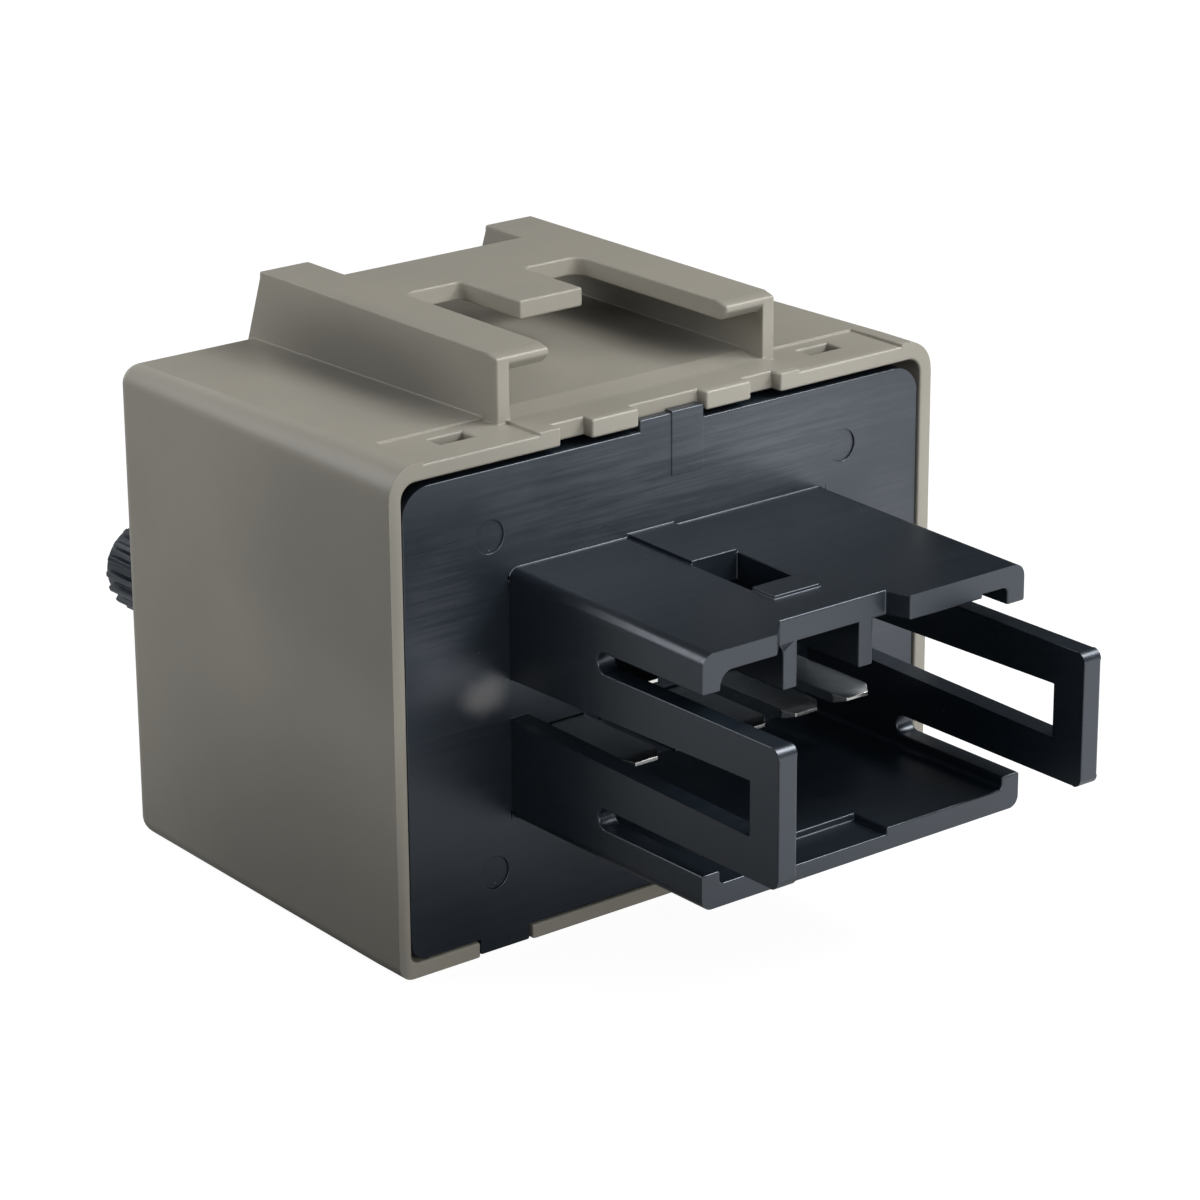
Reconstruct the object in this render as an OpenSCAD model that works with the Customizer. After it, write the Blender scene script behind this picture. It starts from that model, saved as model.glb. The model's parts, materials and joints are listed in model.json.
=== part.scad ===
// Automotive flasher relay: a plug-in electronic relay with a rate knob.
// A moulded housing with a slide-on bracket closes over a base plate whose connector shroud has two
// windowed side arms. Eight flat terminals reach a circuit board that carries two small relays.
// Axes: +X right, +Y back, +Z up. The connector faces -Y. The origin is the centre of the underside.

/* [Housing] */
// Outer width at the front rim
housing_w = 42; // [40:0.5:46]
// Outer depth from the front rim to the back wall
housing_d = 29.6; // [29.4:0.2:36]
// Outer height at the front rim
housing_h = 32; // [31.6:0.2:36]
// Thickness of the side walls and the back wall
side_wall = 0.9; // [0.7:0.05:1.1]
// Thickness of the floor
floor_wall = 0.95; // [0.7:0.05:1.2]
// Thickness of the roof
roof_wall = 1.15; // [1:0.05:1.5]
// How much each side and the roof draw in towards the back
draft = 0.5; // [0.2:0.1:0.8]
// Radius of the upper outer corners
roof_r = 2.0; // [1:0.1:3]
// Radius of the lower outer corners
foot_r = 1.0; // [0.6:0.1:2]

/* [Front rim] */
// Half the width of the castellated stretch of the roof's front edge
rim_half = 8.5; // [8:0.1:9]
// Depth of its set-back parts
rim_setback = 0.9; // [0.6:0.1:1.2]
// Distance from the middle to the inner side of each block
rim_block_in = 2.62; // [2.4:0.01:3]
// Distance from the middle to the outer side of each block
rim_block_out = 6.15; // [5:0.05:7]
// Width of each latch window in the roof
latch_w = 2.5; // [2:0.1:3]
// Length of each latch window
latch_l = 1.3; // [1:0.1:1.8]
// Distance from the middle plane to the centre of each latch window
latch_x = 14.25; // [13.6:0.05:15]
// Width of each notch in the floor's front edge
foot_notch_w = 4.0; // [3:0.1:5]
// Distance from the middle plane to the centre of each floor notch
foot_notch_x = 13.0; // [12:0.1:14]

/* [Bracket] */
// Height of the bracket's top above the roof
bracket_rise = 4.05; // [3.7:0.05:6]
// Half the width across the bracket's walls
bracket_half = 10.75; // [10.2:0.05:11.2]
// Thickness of the bracket's walls
bracket_wall = 0.95; // [0.7:0.05:1.3]
// Thickness of the bracket's plate and flanges
bracket_plate = 1.2; // [0.9:0.05:1.5]
// Half the width of the gap between the flanges
flange_gap = 6.85; // [6:0.05:8]
// Distance from the front rim to the bracket's front edge
bracket_front = 3.2; // [2.8:0.1:4]
// Distance from the front rim to the bottom of the two plate notches
notch_back = 17.7; // [16.5:0.1:19]
// Half the width of the plate's tongue
tongue_half = 2.45; // [2:0.05:3]
// Distance from the front rim to the tongue's tip
tongue_front = 11.7; // [10:0.1:13]
// Distance from the back wall's face to the plate's back edge between the wings
plate_setback = 5.9; // [5:0.1:8]
// Distance from the back wall's face to the back edge of the wings
wing_setback = 1.95; // [1.5:0.1:4]

/* [Base plate] */
// Thickness of the base plate
plate_t = 1.7; // [1.4:0.1:2]
// How far the base plate's front lies behind the rim
plate_recess = 0.15; // [0.05:0.05:0.3]
// Clearance between the base plate and the side walls
plate_gap = 0.12; // [0.08:0.01:0.2]
// Clearance between the base plate and the roof
plate_roof_gap = 0.4; // [0.2:0.05:0.6]
// Radius of the four shallow ejector marks
ejector_r = 1.03; // [0.8:0.01:1.3]

/* [Connector] */
// Half the outer width of the shroud
shroud_half = 12.4; // [12.2:0.05:13.5]
// Height of the shroud's underside
shroud_low = 8.2; // [7.8:0.1:8.4]
// Height of the shroud's top at its mouth
shroud_high = 23.72; // [23.6:0.02:25]
// Length of the shroud in front of the rim
shroud_l = 17.5; // [15:0.1:20]
// Thickness of the shroud's side walls and arms
shroud_wall = 1.35; // [1.1:0.05:1.5]
// Height of the hood's inner face
hood_low = 22.2; // [21.9:0.05:22.4]
// Height of the tray's inner face
tray_high = 9.6; // [9.3:0.05:9.9]
// Length of the side arms in front of the rim
arm_l = 24.0; // [22:0.1:27]
// Height of the arms' lower edge
arm_low = 11.65; // [11.5:0.05:11.9]
// Height of the arms' upper edge
arm_high = 20.08; // [19.8:0.02:20.3]
// Width of the slot above and below each arm
arm_slot = 1.25; // [1:0.05:1.4]
// Length of the solid stretch of side wall behind the slots
slot_start = 8.75; // [8:0.05:10]
// Width of each key rib under the hood
key_w = 1.1; // [0.9:0.05:1.4]
// Height of the key ribs' lower edge
key_low = 19.4; // [19:0.1:20]

/* [Terminals] */
// Width of a blade
blade_w = 2.8; // [2.3:0.1:2.8]
// Thickness of a blade
blade_t = 0.64; // [0.5:0.02:0.8]
// Distance between neighbouring blades in the lower row
blade_pitch = 4.15; // [4:0.01:4.3]
// Height of the lower row
lower_row = 13.3; // [13.2:0.05:13.6]
// Height of the upper row
upper_row = 18.2; // [18:0.05:18.6]
// How far the blades reach in front of the rim
blade_reach = 7.6; // [6:0.1:10]
// Clearance between a blade and its slot in the base plate
blade_gap = 0.04; // [0.02:0.01:0.08]

/* [Circuit board] */
// Thickness of the board
board_t = 1.6; // [1.2:0.1:1.6]
// Height of the board's top face
board_top = 11.8; // [11.4:0.1:12]
// Clearance between the board's edges and the side walls at the back
board_gap = 0.3; // [0.2:0.05:0.5]
// Length of the pins below the board
pin_tail = 1.2; // [0.8:0.1:1.6]

/* [Board relays] */
// Width of a board relay's cover
relay_w = 12.4; // [12:0.1:12.6]
// Length of a board relay's cover
relay_l = 15.6; // [15.4:0.1:15.8]
// Height of a board relay's cover
relay_h = 15.2; // [15.2:0.1:16.5]
// Wall thickness of the cover
relay_wall = 0.6; // [0.5:0.05:0.7]
// Air gap between the armature and the core
pole_gap = 0.45; // [0.42:0.01:0.5]
// Radius of the coil winding
winding_r = 3.6; // [3:0.1:3.8]
// Radius of the contact buttons
contact_r = 0.9; // [0.7:0.05:1]

/* [Rate adjuster] */
// Radius of the knob over its ridges
knob_r = 3.1; // [2.8:0.05:3.4]
// How far the knob stands out behind the back wall
knob_reach = 5.9; // [4:0.1:8]
// Number of ridges round the knob
knob_ridges = 18; // [12:1:20]
// Radius of the knob's shaft
shaft_r = 1.6; // [1.3:0.05:1.8]
// Clearance round the shaft
shaft_gap = 0.06; // [0.04:0.01:0.09]
// Distance from the housing's left side to the knob's axis
knob_side = 5.6; // [5.5:0.05:5.8]
// Height of the knob's axis
knob_z = 15.7; // [15.5:0.1:15.9]

/* [Board parts] */
// Radius of the capacitor's can
capacitor_r = 3.15; // [2.5:0.05:3.5]
// Height of the capacitor's can
capacitor_h = 11; // [7:0.5:13]
// Length of the timer chip's body
chip_l = 8.4; // [8:0.1:8.6]
// Radius of a diode's body
diode_r = 1.25; // [1:0.05:1.4]

/* [Hidden] */
$fn = 48;
EPS = 0.01;
// Cuts run this far past the faces they open
CUT = 1;

// Front rim and housing
rim_y = -housing_d / 2;
rim_straight = 3;
back_r = 1.3;
cavity_half = housing_w / 2 - side_wall;
cavity_top = housing_h - roof_wall;
back_face = housing_d - side_wall;
pad_recess = 0.18;
pad_l = 4.7;
pad_in = 10.1;
pad_out = 18.45;
latch_y = 3.05;
foot_notch_d = 1.35;

// Bracket
bracket_low = cavity_top + 0.05;
slope_back = 1.65;
bracket_top = housing_h + bracket_rise;
plate_back = housing_d - plate_setback;
wing_back = housing_d - wing_setback;
wing_half_in = 7.0;
bracket_floor = housing_h + 0.25;
floor_ramp = 1.65;
notch_r = 0.9;
tongue_r = 0.5;

// Base plate
plate_half = cavity_half - plate_gap;
plate_low = floor_wall + 0.05;
plate_high = cavity_top - plate_roof_gap;
plate_rear = plate_recess + plate_t;
tab_gap = 0.15;
ejector_edge = 4.1;
ejector_side = 6.25;
lip_high = arm_low - arm_slot;
arm_tip_r = 0.6;
shroud_in = shroud_half - shroud_wall;
hood_rise = 0.36;
lock_in = -5.35;
lock_out = 2.75;
lock_depth = 1.55;
strip_in = -3.4;
strip_out = 0.15;
strip_front = -13.2;
strip_rise = 0.2;
key_x = [-4.55, 1.25];

// Terminals
lower_x = [for (i = [-2:2]) i * blade_pitch];
upper_x = [for (i = [-1:1]) 2 * i * blade_pitch];
lower_bend = 5.6;
upper_bend = 8.7;
tail_w = 1.3;
bend_r = 1.1;

// Circuit board
board_half = cavity_half - draft - board_gap;
board_low = board_top - board_t;
board_front = plate_rear + 0.5;
board_back = back_face - 0.7;
rail_half = board_half - 0.5;
rail_h = 0.9;
rail_gap = 0.05;
hole_gap = 0.1;

// Board relays, measured from the board's top face and the relay's own centre
knob_x = housing_w / 2 - knob_side;
trimmer_w = 6.2;
relay_spacing = 0.8;
left_relay_x = -knob_x + trimmer_w / 2 + 2 * relay_spacing + relay_w / 2;
relay_x = [left_relay_x, left_relay_x + relay_w + relay_spacing];
relay_y = board_back - relay_l / 2 - 0.1;
relay_in_w = relay_w - 2 * relay_wall;
relay_in_l = relay_l - 2 * relay_wall;
relay_base_h = 1.2;
foot_t = 1.0;
yoke_y = -relay_in_l / 2 + 0.2;
yoke_t = 1.1;
coil_y = -1.7;
foot_top = relay_base_h + EPS + foot_t;
bobbin_low = foot_top + 0.05;
flange_t = 0.6;
flange_half = 4.05;
head_t = 0.8;
head_r = 2.4;
core_r = 1.4;
rivet_r = 1.0;
tube_r = 1.95;
foot_half = 3.2;
yoke_half = 4;
armature_half = 3.6;
strip_half = 1.5;
pole_z = 11.0;
head_z = pole_z - head_t;
bobbin_high = head_z - 0.1;
armature_z = pole_z + pole_gap;
armature_t = 0.9;
hinge_gap = 0.07;
strip_z = armature_z + armature_t;
strip_t = 0.25;
button_h = 0.45;
contact_y = 5.6;
contact_bar = 1.4;
bar_t = 0.45;
leg_x = 4.35;
leg_t = 0.5;
contact_travel = 0.78;
coil_pin_x = 3.4;
coil_pin_y = 3.2;
pin_w = 0.6;

// Parts under the board
under_y = -1.6;
solder_t = 0.02;
cone_h = 0.8;
tail_cone_r = 1.25;
pin_cone_r = 0.9;
resistor_x = -10.1;
resistor_size = [1.6, 3.2, 0.6];
resistor_pitch = [2.3, 3.6];
transistor_x = -5.2;
transistor_size = [2.9, 1.6, 1.1];
transistor_pitch = 2.4;
chip_x = 1.3;
chip_w = 4.4;
chip_h = 1.6;
chip_lift = 0.2;
foot_w = 0.6;
foot_l = 1.4;
foot_h = 0.25;
diode_x = 9.4;
diode_l = 5.2;
diode_pitch = 3.3;

// Parts on the board
can_wall = 0.4;
seal_h = 1.15;
shunt_half = 2.7;
shunt_y = 6.2;

// Rate adjuster
trimmer_l = 4.8;
trimmer_back = back_face - 3.6;
trimmer_front = trimmer_back - trimmer_l;
rotor_r = shaft_r + 0.8;
rotor_l = 1.4;
knob_gap = 0.4;

// ---- Shared helpers ----

// Moves what is measured from the front rim to its place.
module at_rim() translate([0, rim_y, 0]) children();

// Extrudes an XZ outline along Y.
module along_y(y0, y1) translate([0, y1, 0]) rotate([90, 0, 0]) linear_extrude(y1 - y0) children();

// Extrudes a YZ outline along X.
module along_x(x0, x1) translate([x0, 0, 0]) rotate([90, 0, 90]) linear_extrude(x1 - x0) children();

// A box between two corners.
module block(low, high) translate(low) cube(high - low);

// Repeats a part on both sides of the middle plane.
module both_sides() {
    children();
    mirror([1, 0, 0]) children();
}

// What a rounded corner loses: a square less a quarter disc, for a corner at the origin.
module corner_loss(r) difference() {
    translate([-EPS, -EPS]) square(r + EPS);
    translate([r, r]) circle(r);
}

// A rectangle with its own radii at the top and at the bottom.
module rounded_rect(half, low, high, r_top, r_bottom) difference() {
    translate([-half, low]) square([2 * half, high - low]);
    for (side = [-1, 1]) {
        translate([side * half, low]) scale([-side, 1]) corner_loss(r_bottom);
        translate([side * half, high]) scale([-side, -1]) corner_loss(r_top);
    }
}

// ---- Housing ----

// The housing's outer body, drawn in towards the back, with rounded back edges.
module housing_body() {
    half_back = housing_w / 2 - draft;
    hull() {
        along_y(0, rim_straight) rounded_rect(housing_w / 2, 0, housing_h, roof_r, foot_r, $fn = 32);
        for (side = [-1, 1], z = [back_r, housing_h - draft - back_r])
            translate([side * (half_back - back_r), housing_d - back_r, z]) sphere(back_r, $fn = 32);
    }
}

// The space inside the housing, with the same draft as the outside.
module housing_cavity() {
    half_back = cavity_half - draft;
    top_back = cavity_top - draft;
    hull() {
        along_y(-CUT, rim_straight) rounded_rect(cavity_half, floor_wall, cavity_top, 1, 0.6, $fn = 32);
        block([-half_back, back_face - CUT, floor_wall], [half_back, back_face, top_back]);
    }
}

// The cuts that castellate the roof's front edge.
module rim_cuts() {
    block([-rim_block_in, -CUT, cavity_top - CUT], [rim_block_in, rim_setback, housing_h + CUT]);
    both_sides() block([rim_block_out, -CUT, cavity_top - CUT], [rim_half, rim_setback, housing_h + CUT]);
}

// The shallow pads beside the bracket.
module latch_pads() both_sides()
    block([pad_in, -CUT, housing_h - pad_recess], [pad_out, pad_l, housing_h + CUT]);

// The latch windows through the pads.
module latch_windows() both_sides()
    block([latch_x - latch_w / 2, latch_y - latch_l / 2, cavity_top - CUT],
          [latch_x + latch_w / 2, latch_y + latch_l / 2, housing_h + CUT]);

// The notches in the floor's front edge for the base plate's feet.
module foot_cuts() both_sides()
    block([foot_notch_x - foot_notch_w / 2, -CUT, -CUT],
          [foot_notch_x + foot_notch_w / 2, foot_notch_d, floor_wall + CUT]);

// Outline of the bracket's top plate: two flanges, a tongue between two notches, and two wings.
module bracket_outline() {
    difference() {
        translate([-bracket_half, bracket_front]) square([2 * bracket_half, wing_back - bracket_front]);
        translate([-flange_gap, bracket_front - CUT])
            square([2 * flange_gap, notch_back - bracket_front + CUT]);
        translate([-wing_half_in, plate_back]) square([2 * wing_half_in, wing_back]);
    }
    translate([-tongue_half, tongue_front]) square([2 * tongue_half, notch_back - tongue_front + EPS]);
    for (side = [-1, 1]) {
        translate([side * flange_gap, notch_back]) scale([-side, -1]) corner_loss(notch_r);
        translate([side * tongue_half, notch_back]) scale([side, -1]) corner_loss(tongue_r);
    }
}

// One wall of the bracket, seen from the side, with its sloping back end.
module bracket_wall_outline() polygon([
    [bracket_front, bracket_low], [bracket_front, bracket_top],
    [wing_back - 0.4, bracket_top], [wing_back, bracket_top - 0.6],
    [wing_back + slope_back, bracket_low]
]);

// The sloping back wall under a wing, seen from the side.
module wing_back_outline() polygon([
    [wing_back - bracket_wall, bracket_top - 0.6], [wing_back - 0.4, bracket_top - 0.3],
    [wing_back, bracket_top - 0.6], [wing_back + slope_back, bracket_low],
    [wing_back + slope_back - bracket_wall, bracket_low]
]);

// The raised floor of the bracket channel, with a ramp at its front.
module bracket_floor_outline() polygon([
    [bracket_front, bracket_low], [bracket_front, housing_h - 0.05],
    [bracket_front + floor_ramp, bracket_floor],
    [wing_back, bracket_floor], [wing_back, bracket_low]
]);

// The lead-in under the flanges' front edge and the soft edge above it.
module bracket_lead_in() {
    lead = 0.6;
    low = bracket_top - bracket_plate;
    along_x(-bracket_half + bracket_wall, bracket_half - bracket_wall)
        polygon([[bracket_front - EPS, low - EPS], [bracket_front + lead, low - EPS],
                 [bracket_front - EPS, low + lead]]);
    along_x(-housing_w / 2, housing_w / 2)
        polygon([[bracket_front - EPS, bracket_top - 0.22], [bracket_front - EPS, bracket_top + EPS],
                 [bracket_front + 0.9, bracket_top + EPS]]);
}

module bracket() {
    difference() {
        union() {
            translate([0, 0, bracket_top - bracket_plate]) linear_extrude(bracket_plate) bracket_outline();
            both_sides() along_x(bracket_half - bracket_wall, bracket_half) bracket_wall_outline();
            both_sides() along_x(wing_half_in, bracket_half - EPS) wing_back_outline();
        }
        bracket_lead_in();
    }
    along_x(-bracket_half + bracket_wall / 2, bracket_half - bracket_wall / 2) bracket_floor_outline();
}

// Rails on the side walls that hold the circuit board, and the stops behind the base plate.
module board_rails() both_sides() {
    stop_y = plate_rear + rail_gap;
    block([rail_half, stop_y, board_low - rail_gap - rail_h], [housing_w, housing_d, board_low - rail_gap]);
    block([rail_half, stop_y, board_top + rail_gap],
          [housing_w, board_front + 5, board_top + rail_gap + rail_h]);
    block([rail_half, stop_y, plate_high - 5], [housing_w, stop_y + 2, plate_high - 3]);
}

module housing() color("#aaa699") at_rim() {
    difference() {
        union() {
            difference() {
                housing_body();
                difference() {
                    housing_cavity();
                    board_rails();
                }
                latch_pads();
            }
            bracket();
        }
        rim_cuts();
        latch_windows();
        foot_cuts();
        translate([-knob_x, housing_d, knob_z]) rotate([90, 0, 0])
            cylinder(r = shaft_r + shaft_gap, h = 2 * (side_wall + CUT), center = true);
    }
}

// ---- Base plate and connector ----

// The window in an arm, a little narrower towards the base plate.
module arm_window_outline() polygon([
    [plate_recess - EPS, arm_low + 3.0], [plate_recess - EPS, arm_high - 2.9],
    [-arm_l + 2.5, arm_high - 2.5], [-arm_l + 2.5, arm_low + 2.55]
]);

// Front view of the space inside the shroud, between tray and hood.
module shroud_bore_outline() {
    pocket_high = hood_low + 0.22;
    pocket_l = key_x[0] - key_w / 2;
    pocket_r = 9.05;
    difference() {
        union() {
            translate([-shroud_in, tray_high]) square([2 * shroud_in, hood_low - tray_high]);
            translate([-shroud_in, tray_high]) square([shroud_in + pocket_l, pocket_high - tray_high]);
            translate([pocket_r, tray_high]) square([shroud_in - pocket_r, pocket_high - tray_high]);
        }
        for (x = key_x)
            translate([x - key_w / 2, key_low]) square([key_w, CUT + hood_low - key_low]);
        translate([-shroud_in, pocket_high]) scale([1, -1]) corner_loss(0.9);
        translate([pocket_l, pocket_high]) scale([-1, -1]) corner_loss(0.9);
        translate([shroud_in, pocket_high]) scale([-1, -1]) corner_loss(0.4);
        for (side = [-1, 1])
            translate([side * shroud_in, tray_high]) scale([-side, 1]) corner_loss(0.3);
    }
}

// The closed sleeve of the shroud, with its top rising slightly towards the base plate.
module shroud_sleeve() hull() {
    along_y(-shroud_l, -shroud_l + CUT)
        rounded_rect(shroud_half, shroud_low, shroud_high, 0.8, 0.7, $fn = 32);
    along_y(plate_recess, plate_recess + CUT)
        rounded_rect(shroud_half, shroud_low, shroud_high + hood_rise, 0.8, 0.7, $fn = 32);
}

// Side view of an arm in front of the sleeve's walls, with its rounded tip.
module arm_outline() difference() {
    translate([-arm_l, arm_low]) square([arm_l - slot_start, arm_high - arm_low]);
    translate([-arm_l, arm_low]) corner_loss(arm_tip_r);
    translate([-arm_l, arm_high]) scale([1, -1]) corner_loss(arm_tip_r);
}

// Side view of the slots above and below an arm, with their round ends.
module arm_slot_outline() for (z = [lip_high, arm_high]) {
    translate([-arm_l, z]) square([arm_l - slot_start, arm_slot]);
    translate([-slot_start, z + arm_slot / 2]) circle(d = arm_slot, $fn = 32);
}

// The sleeve and arms, opened by the bore, the arms' slots and windows, and the hood's recess.
module shroud() {
    wide = shroud_half + CUT;
    difference() {
        union() {
            shroud_sleeve();
            both_sides() along_x(shroud_in, shroud_half) arm_outline();
            along_x(strip_in, strip_out) lock_strip_outline();
        }
        along_y(-arm_l - CUT, plate_recess) shroud_bore_outline();
        both_sides() along_x(shroud_in - EPS, wide) arm_slot_outline();
        along_x(-wide, wide) arm_window_outline();
        lock_recess();
        lock_window();
        tray_recess();
    }
}

// Side view of the raised strip along the hood.
module lock_strip_outline() polygon([
    [plate_recess, hood_low + 0.5], [plate_recess, shroud_high + hood_rise + strip_rise],
    [strip_front, shroud_high + hood_rise / 4 + strip_rise], [strip_front, hood_low + 0.5]
]);

// The wide recess with slanted ends in the hood's front edge.
module lock_recess() translate([0, 0, key_low - CUT]) linear_extrude(shroud_high) polygon([
    [lock_in - lock_depth, -shroud_l - EPS], [lock_in, -shroud_l + lock_depth],
    [lock_out, -shroud_l + lock_depth], [lock_out + lock_depth / 3, -shroud_l - EPS]
]);

// The window through the hood for the plug's latch.
module lock_window() block([strip_in, -11.2, hood_low - CUT], [strip_out, -5.8, shroud_high + CUT]);

// The shallow recess in the front edge of the tray's floor.
module tray_recess()
    block([lock_in, -shroud_l - CUT, tray_high - 0.42], [lock_out - 1, -shroud_l + 2.9, tray_high + EPS]);

// The tongue that fills the gap between the rim's two middle blocks, with a fine step in the middle.
module plate_tongue() {
    half = rim_block_in - 0.2;
    block([-half, plate_recess, plate_high - CUT], [0, rim_setback - 0.1, plate_high + 0.72]);
    block([-EPS, plate_recess - 0.08, plate_high - 3.2], [half, rim_setback - 0.1, plate_high + 0.84]);
}

// The snap fingers under the latch windows and the feet in the floor notches.
module plate_snaps() both_sides() {
    finger_half = latch_w / 2 - tab_gap;
    block([latch_x - finger_half, plate_rear - EPS, plate_high - 1.1],
          [latch_x + finger_half, latch_y + latch_l / 2 + 0.6, plate_high - 0.05]);
    block([latch_x - finger_half, latch_y - latch_l / 2 + tab_gap, plate_high - 0.1],
          [latch_x + finger_half, latch_y + latch_l / 2 - tab_gap, housing_h - 0.7]);
    block([foot_notch_x - foot_notch_w / 2 + tab_gap, plate_recess, 0.02],
          [foot_notch_x + foot_notch_w / 2 - tab_gap, foot_notch_d - tab_gap, plate_low + EPS]);
}

// Four shallow round marks left by the ejector pins.
module ejector_marks() for (side = [-1, 1], z = [plate_low + ejector_edge, plate_high - ejector_edge])
    translate([side * (plate_half - ejector_side), plate_recess + 0.12, z])
        rotate([90, 0, 0]) cylinder(r = ejector_r, h = CUT);

// Slots for the eight blades.
module blade_slots() {
    for (x = lower_x) blade_slot(x, lower_row);
    for (x = upper_x) blade_slot(x, upper_row);
}

module blade_slot(x, z) {
    half_w = blade_w / 2 + blade_gap;
    half_t = blade_t / 2 + blade_gap;
    block([x - half_w, -CUT, z - half_t], [x + half_w, plate_rear + CUT, z + half_t]);
}

module base_plate() color("#1d222b") at_rim() {
    difference() {
        union() {
            along_y(plate_recess, plate_rear) rounded_rect(plate_half, plate_low, plate_high, 1.9, 1.2);
            plate_tongue();
            plate_snaps();
            shroud();
        }
        ejector_marks();
        blade_slots();
    }
}

// ---- Terminals ----

// Plan of a blade's tip, with its two corners taken off.
module blade_plan(length) polygon([
    [-blade_w / 2, 0], [-blade_w / 2, -length + 0.7], [-blade_w / 2 + 0.55, -length],
    [blade_w / 2 - 0.55, -length], [blade_w / 2, -length + 0.7], [blade_w / 2, 0]
]);

// A flat blade that runs back through the base plate and bends down into the board.
module terminal(x, z, bend) color("#b9bcc0") at_rim() translate([x, 0, 0]) {
    high = z + blade_t / 2;
    low = z - blade_t / 2;
    difference() {
        intersection() {
            along_x(-blade_w / 2, blade_w / 2) terminal_side_outline(high, low, bend);
            union() {
                translate([0, 0, low - EPS]) linear_extrude(blade_t + 2 * EPS) blade_plan(blade_reach);
                block([-blade_w / 2, 0, board_top + 0.3], [blade_w / 2, bend + EPS, high + EPS]);
            }
        }
        blade_bevels(high, low);
    }
    block([-tail_w / 2, bend - blade_t, board_low - pin_tail], [tail_w / 2, bend, board_top + 0.3 + EPS]);
}

// Side view of the blade and its bend, down to just above the board.
module terminal_side_outline(high, low, bend) difference() {
    union() {
        translate([-blade_reach, low]) square([blade_reach + bend, blade_t]);
        translate([bend - blade_t, board_top]) square([blade_t, high - board_top]);
        translate([bend - blade_t, low]) scale([-1, -1]) corner_loss(bend_r - blade_t);
    }
    translate([bend, high]) scale([-1, -1]) corner_loss(bend_r);
}

// The bevels above and below the blade's tip.
module blade_bevels(high, low) for (face = [[high, 1], [low, -1]])
    along_x(-blade_w, blade_w) polygon([
        [-blade_reach - EPS, face[0] - face[1] * 0.2], [-blade_reach - EPS, face[0] + face[1] * EPS],
        [-blade_reach + 0.9, face[0] + face[1] * EPS]
    ]);

// ---- Circuit board ----

// Places of the terminal tails on the board.
tail_places = concat(
    [for (x = lower_x) [x, lower_bend - blade_t / 2]],
    [for (x = upper_x) [x, upper_bend - blade_t / 2]]
);
// Places of a relay's pins, from the relay's centre: yoke, two contacts, two coil pins.
relay_pins = [
    [0, yoke_y + yoke_t / 2], [leg_x, contact_y], [-leg_x, contact_y],
    [coil_pin_x, coil_pin_y], [-coil_pin_x, coil_pin_y]
];
relay_pin_places = [for (x = relay_x, pin = relay_pins) [x + pin[0], relay_y + pin[1]]];

// Places of the other through-hole leads.
capacitor_xy = [-knob_x, trimmer_front - capacitor_r - 0.8];
lead_spread = 1.25;
capacitor_leads = [for (side = [-1, 1]) capacitor_xy + [side * lead_spread, 0]];
trimmer_leads = [for (side = [-1, 0, 1]) [-knob_x + side * 2.2, trimmer_back - trimmer_l / 2]];
shunt_leads = [for (side = [-1, 1]) [-knob_x + side * shunt_half, shunt_y]];

module lead_hole(place, size)
    translate([place[0], place[1], board_low + board_t / 2])
        cube([size[0], size[1], 2 * board_t], center = true);

module circuit_board() color("#2f6b3c") at_rim() difference() {
    block([-board_half, board_front, board_low], [board_half, board_back, board_top]);
    for (place = tail_places) lead_hole(place, [tail_w + hole_gap, blade_t + hole_gap]);
    for (place = concat(relay_pin_places, capacitor_leads, trimmer_leads, shunt_leads))
        lead_hole(place, [pin_w + 2 * hole_gap, pin_w + 2 * hole_gap]);
}

// A cone of solder under the board, round a lead.
module solder_cone(place, size, r) translate([place[0], place[1], board_low - cone_h]) difference() {
    cylinder(r1 = r * 0.6, r2 = r, h = cone_h, $fn = 24);
    cube([size[0], size[1], 4 * cone_h], center = true);
}

module solder_joints() color("#c9ccd0") at_rim() {
    for (place = tail_places) solder_cone(place, [tail_w, blade_t], tail_cone_r);
    for (place = relay_pin_places) solder_cone(place, [pin_w, pin_w], pin_cone_r);
}

// ---- Board relays, each modelled about its own centre on the board ----

module at_relay(i) at_rim() translate([relay_x[i], relay_y, board_top]) children();

// A pin down through the relay's base and the board.
module relay_pin(place, top) translate([place[0], place[1], 0])
    block([-pin_w / 2, -pin_w / 2, -board_t - pin_tail], [pin_w / 2, pin_w / 2, top]);

// A square hole for a pin, with a little room round it.
module pin_hole(place, z) translate([place[0], place[1], z])
    cube([pin_w + 0.1, pin_w + 0.1, 4 * relay_base_h], center = true);

module relay_base(i) color("#22252a") at_relay(i) {
    fit = 0.05;
    half_w = relay_in_w / 2 - fit;
    half_l = relay_in_l / 2 - fit;
    difference() {
        block([-half_w, -half_l, 0], [half_w, half_l, relay_base_h]);
        for (pin = relay_pins) pin_hole(pin, 0);
    }
}

module relay_cover(i) color("#2b59a8") at_relay(i) difference() {
    block([-relay_w / 2, -relay_l / 2, 0.1], [relay_w / 2, relay_l / 2, relay_h]);
    block([-relay_in_w / 2, -relay_in_l / 2, -CUT], [relay_in_w / 2, relay_in_l / 2, relay_h - relay_wall]);
}

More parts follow.
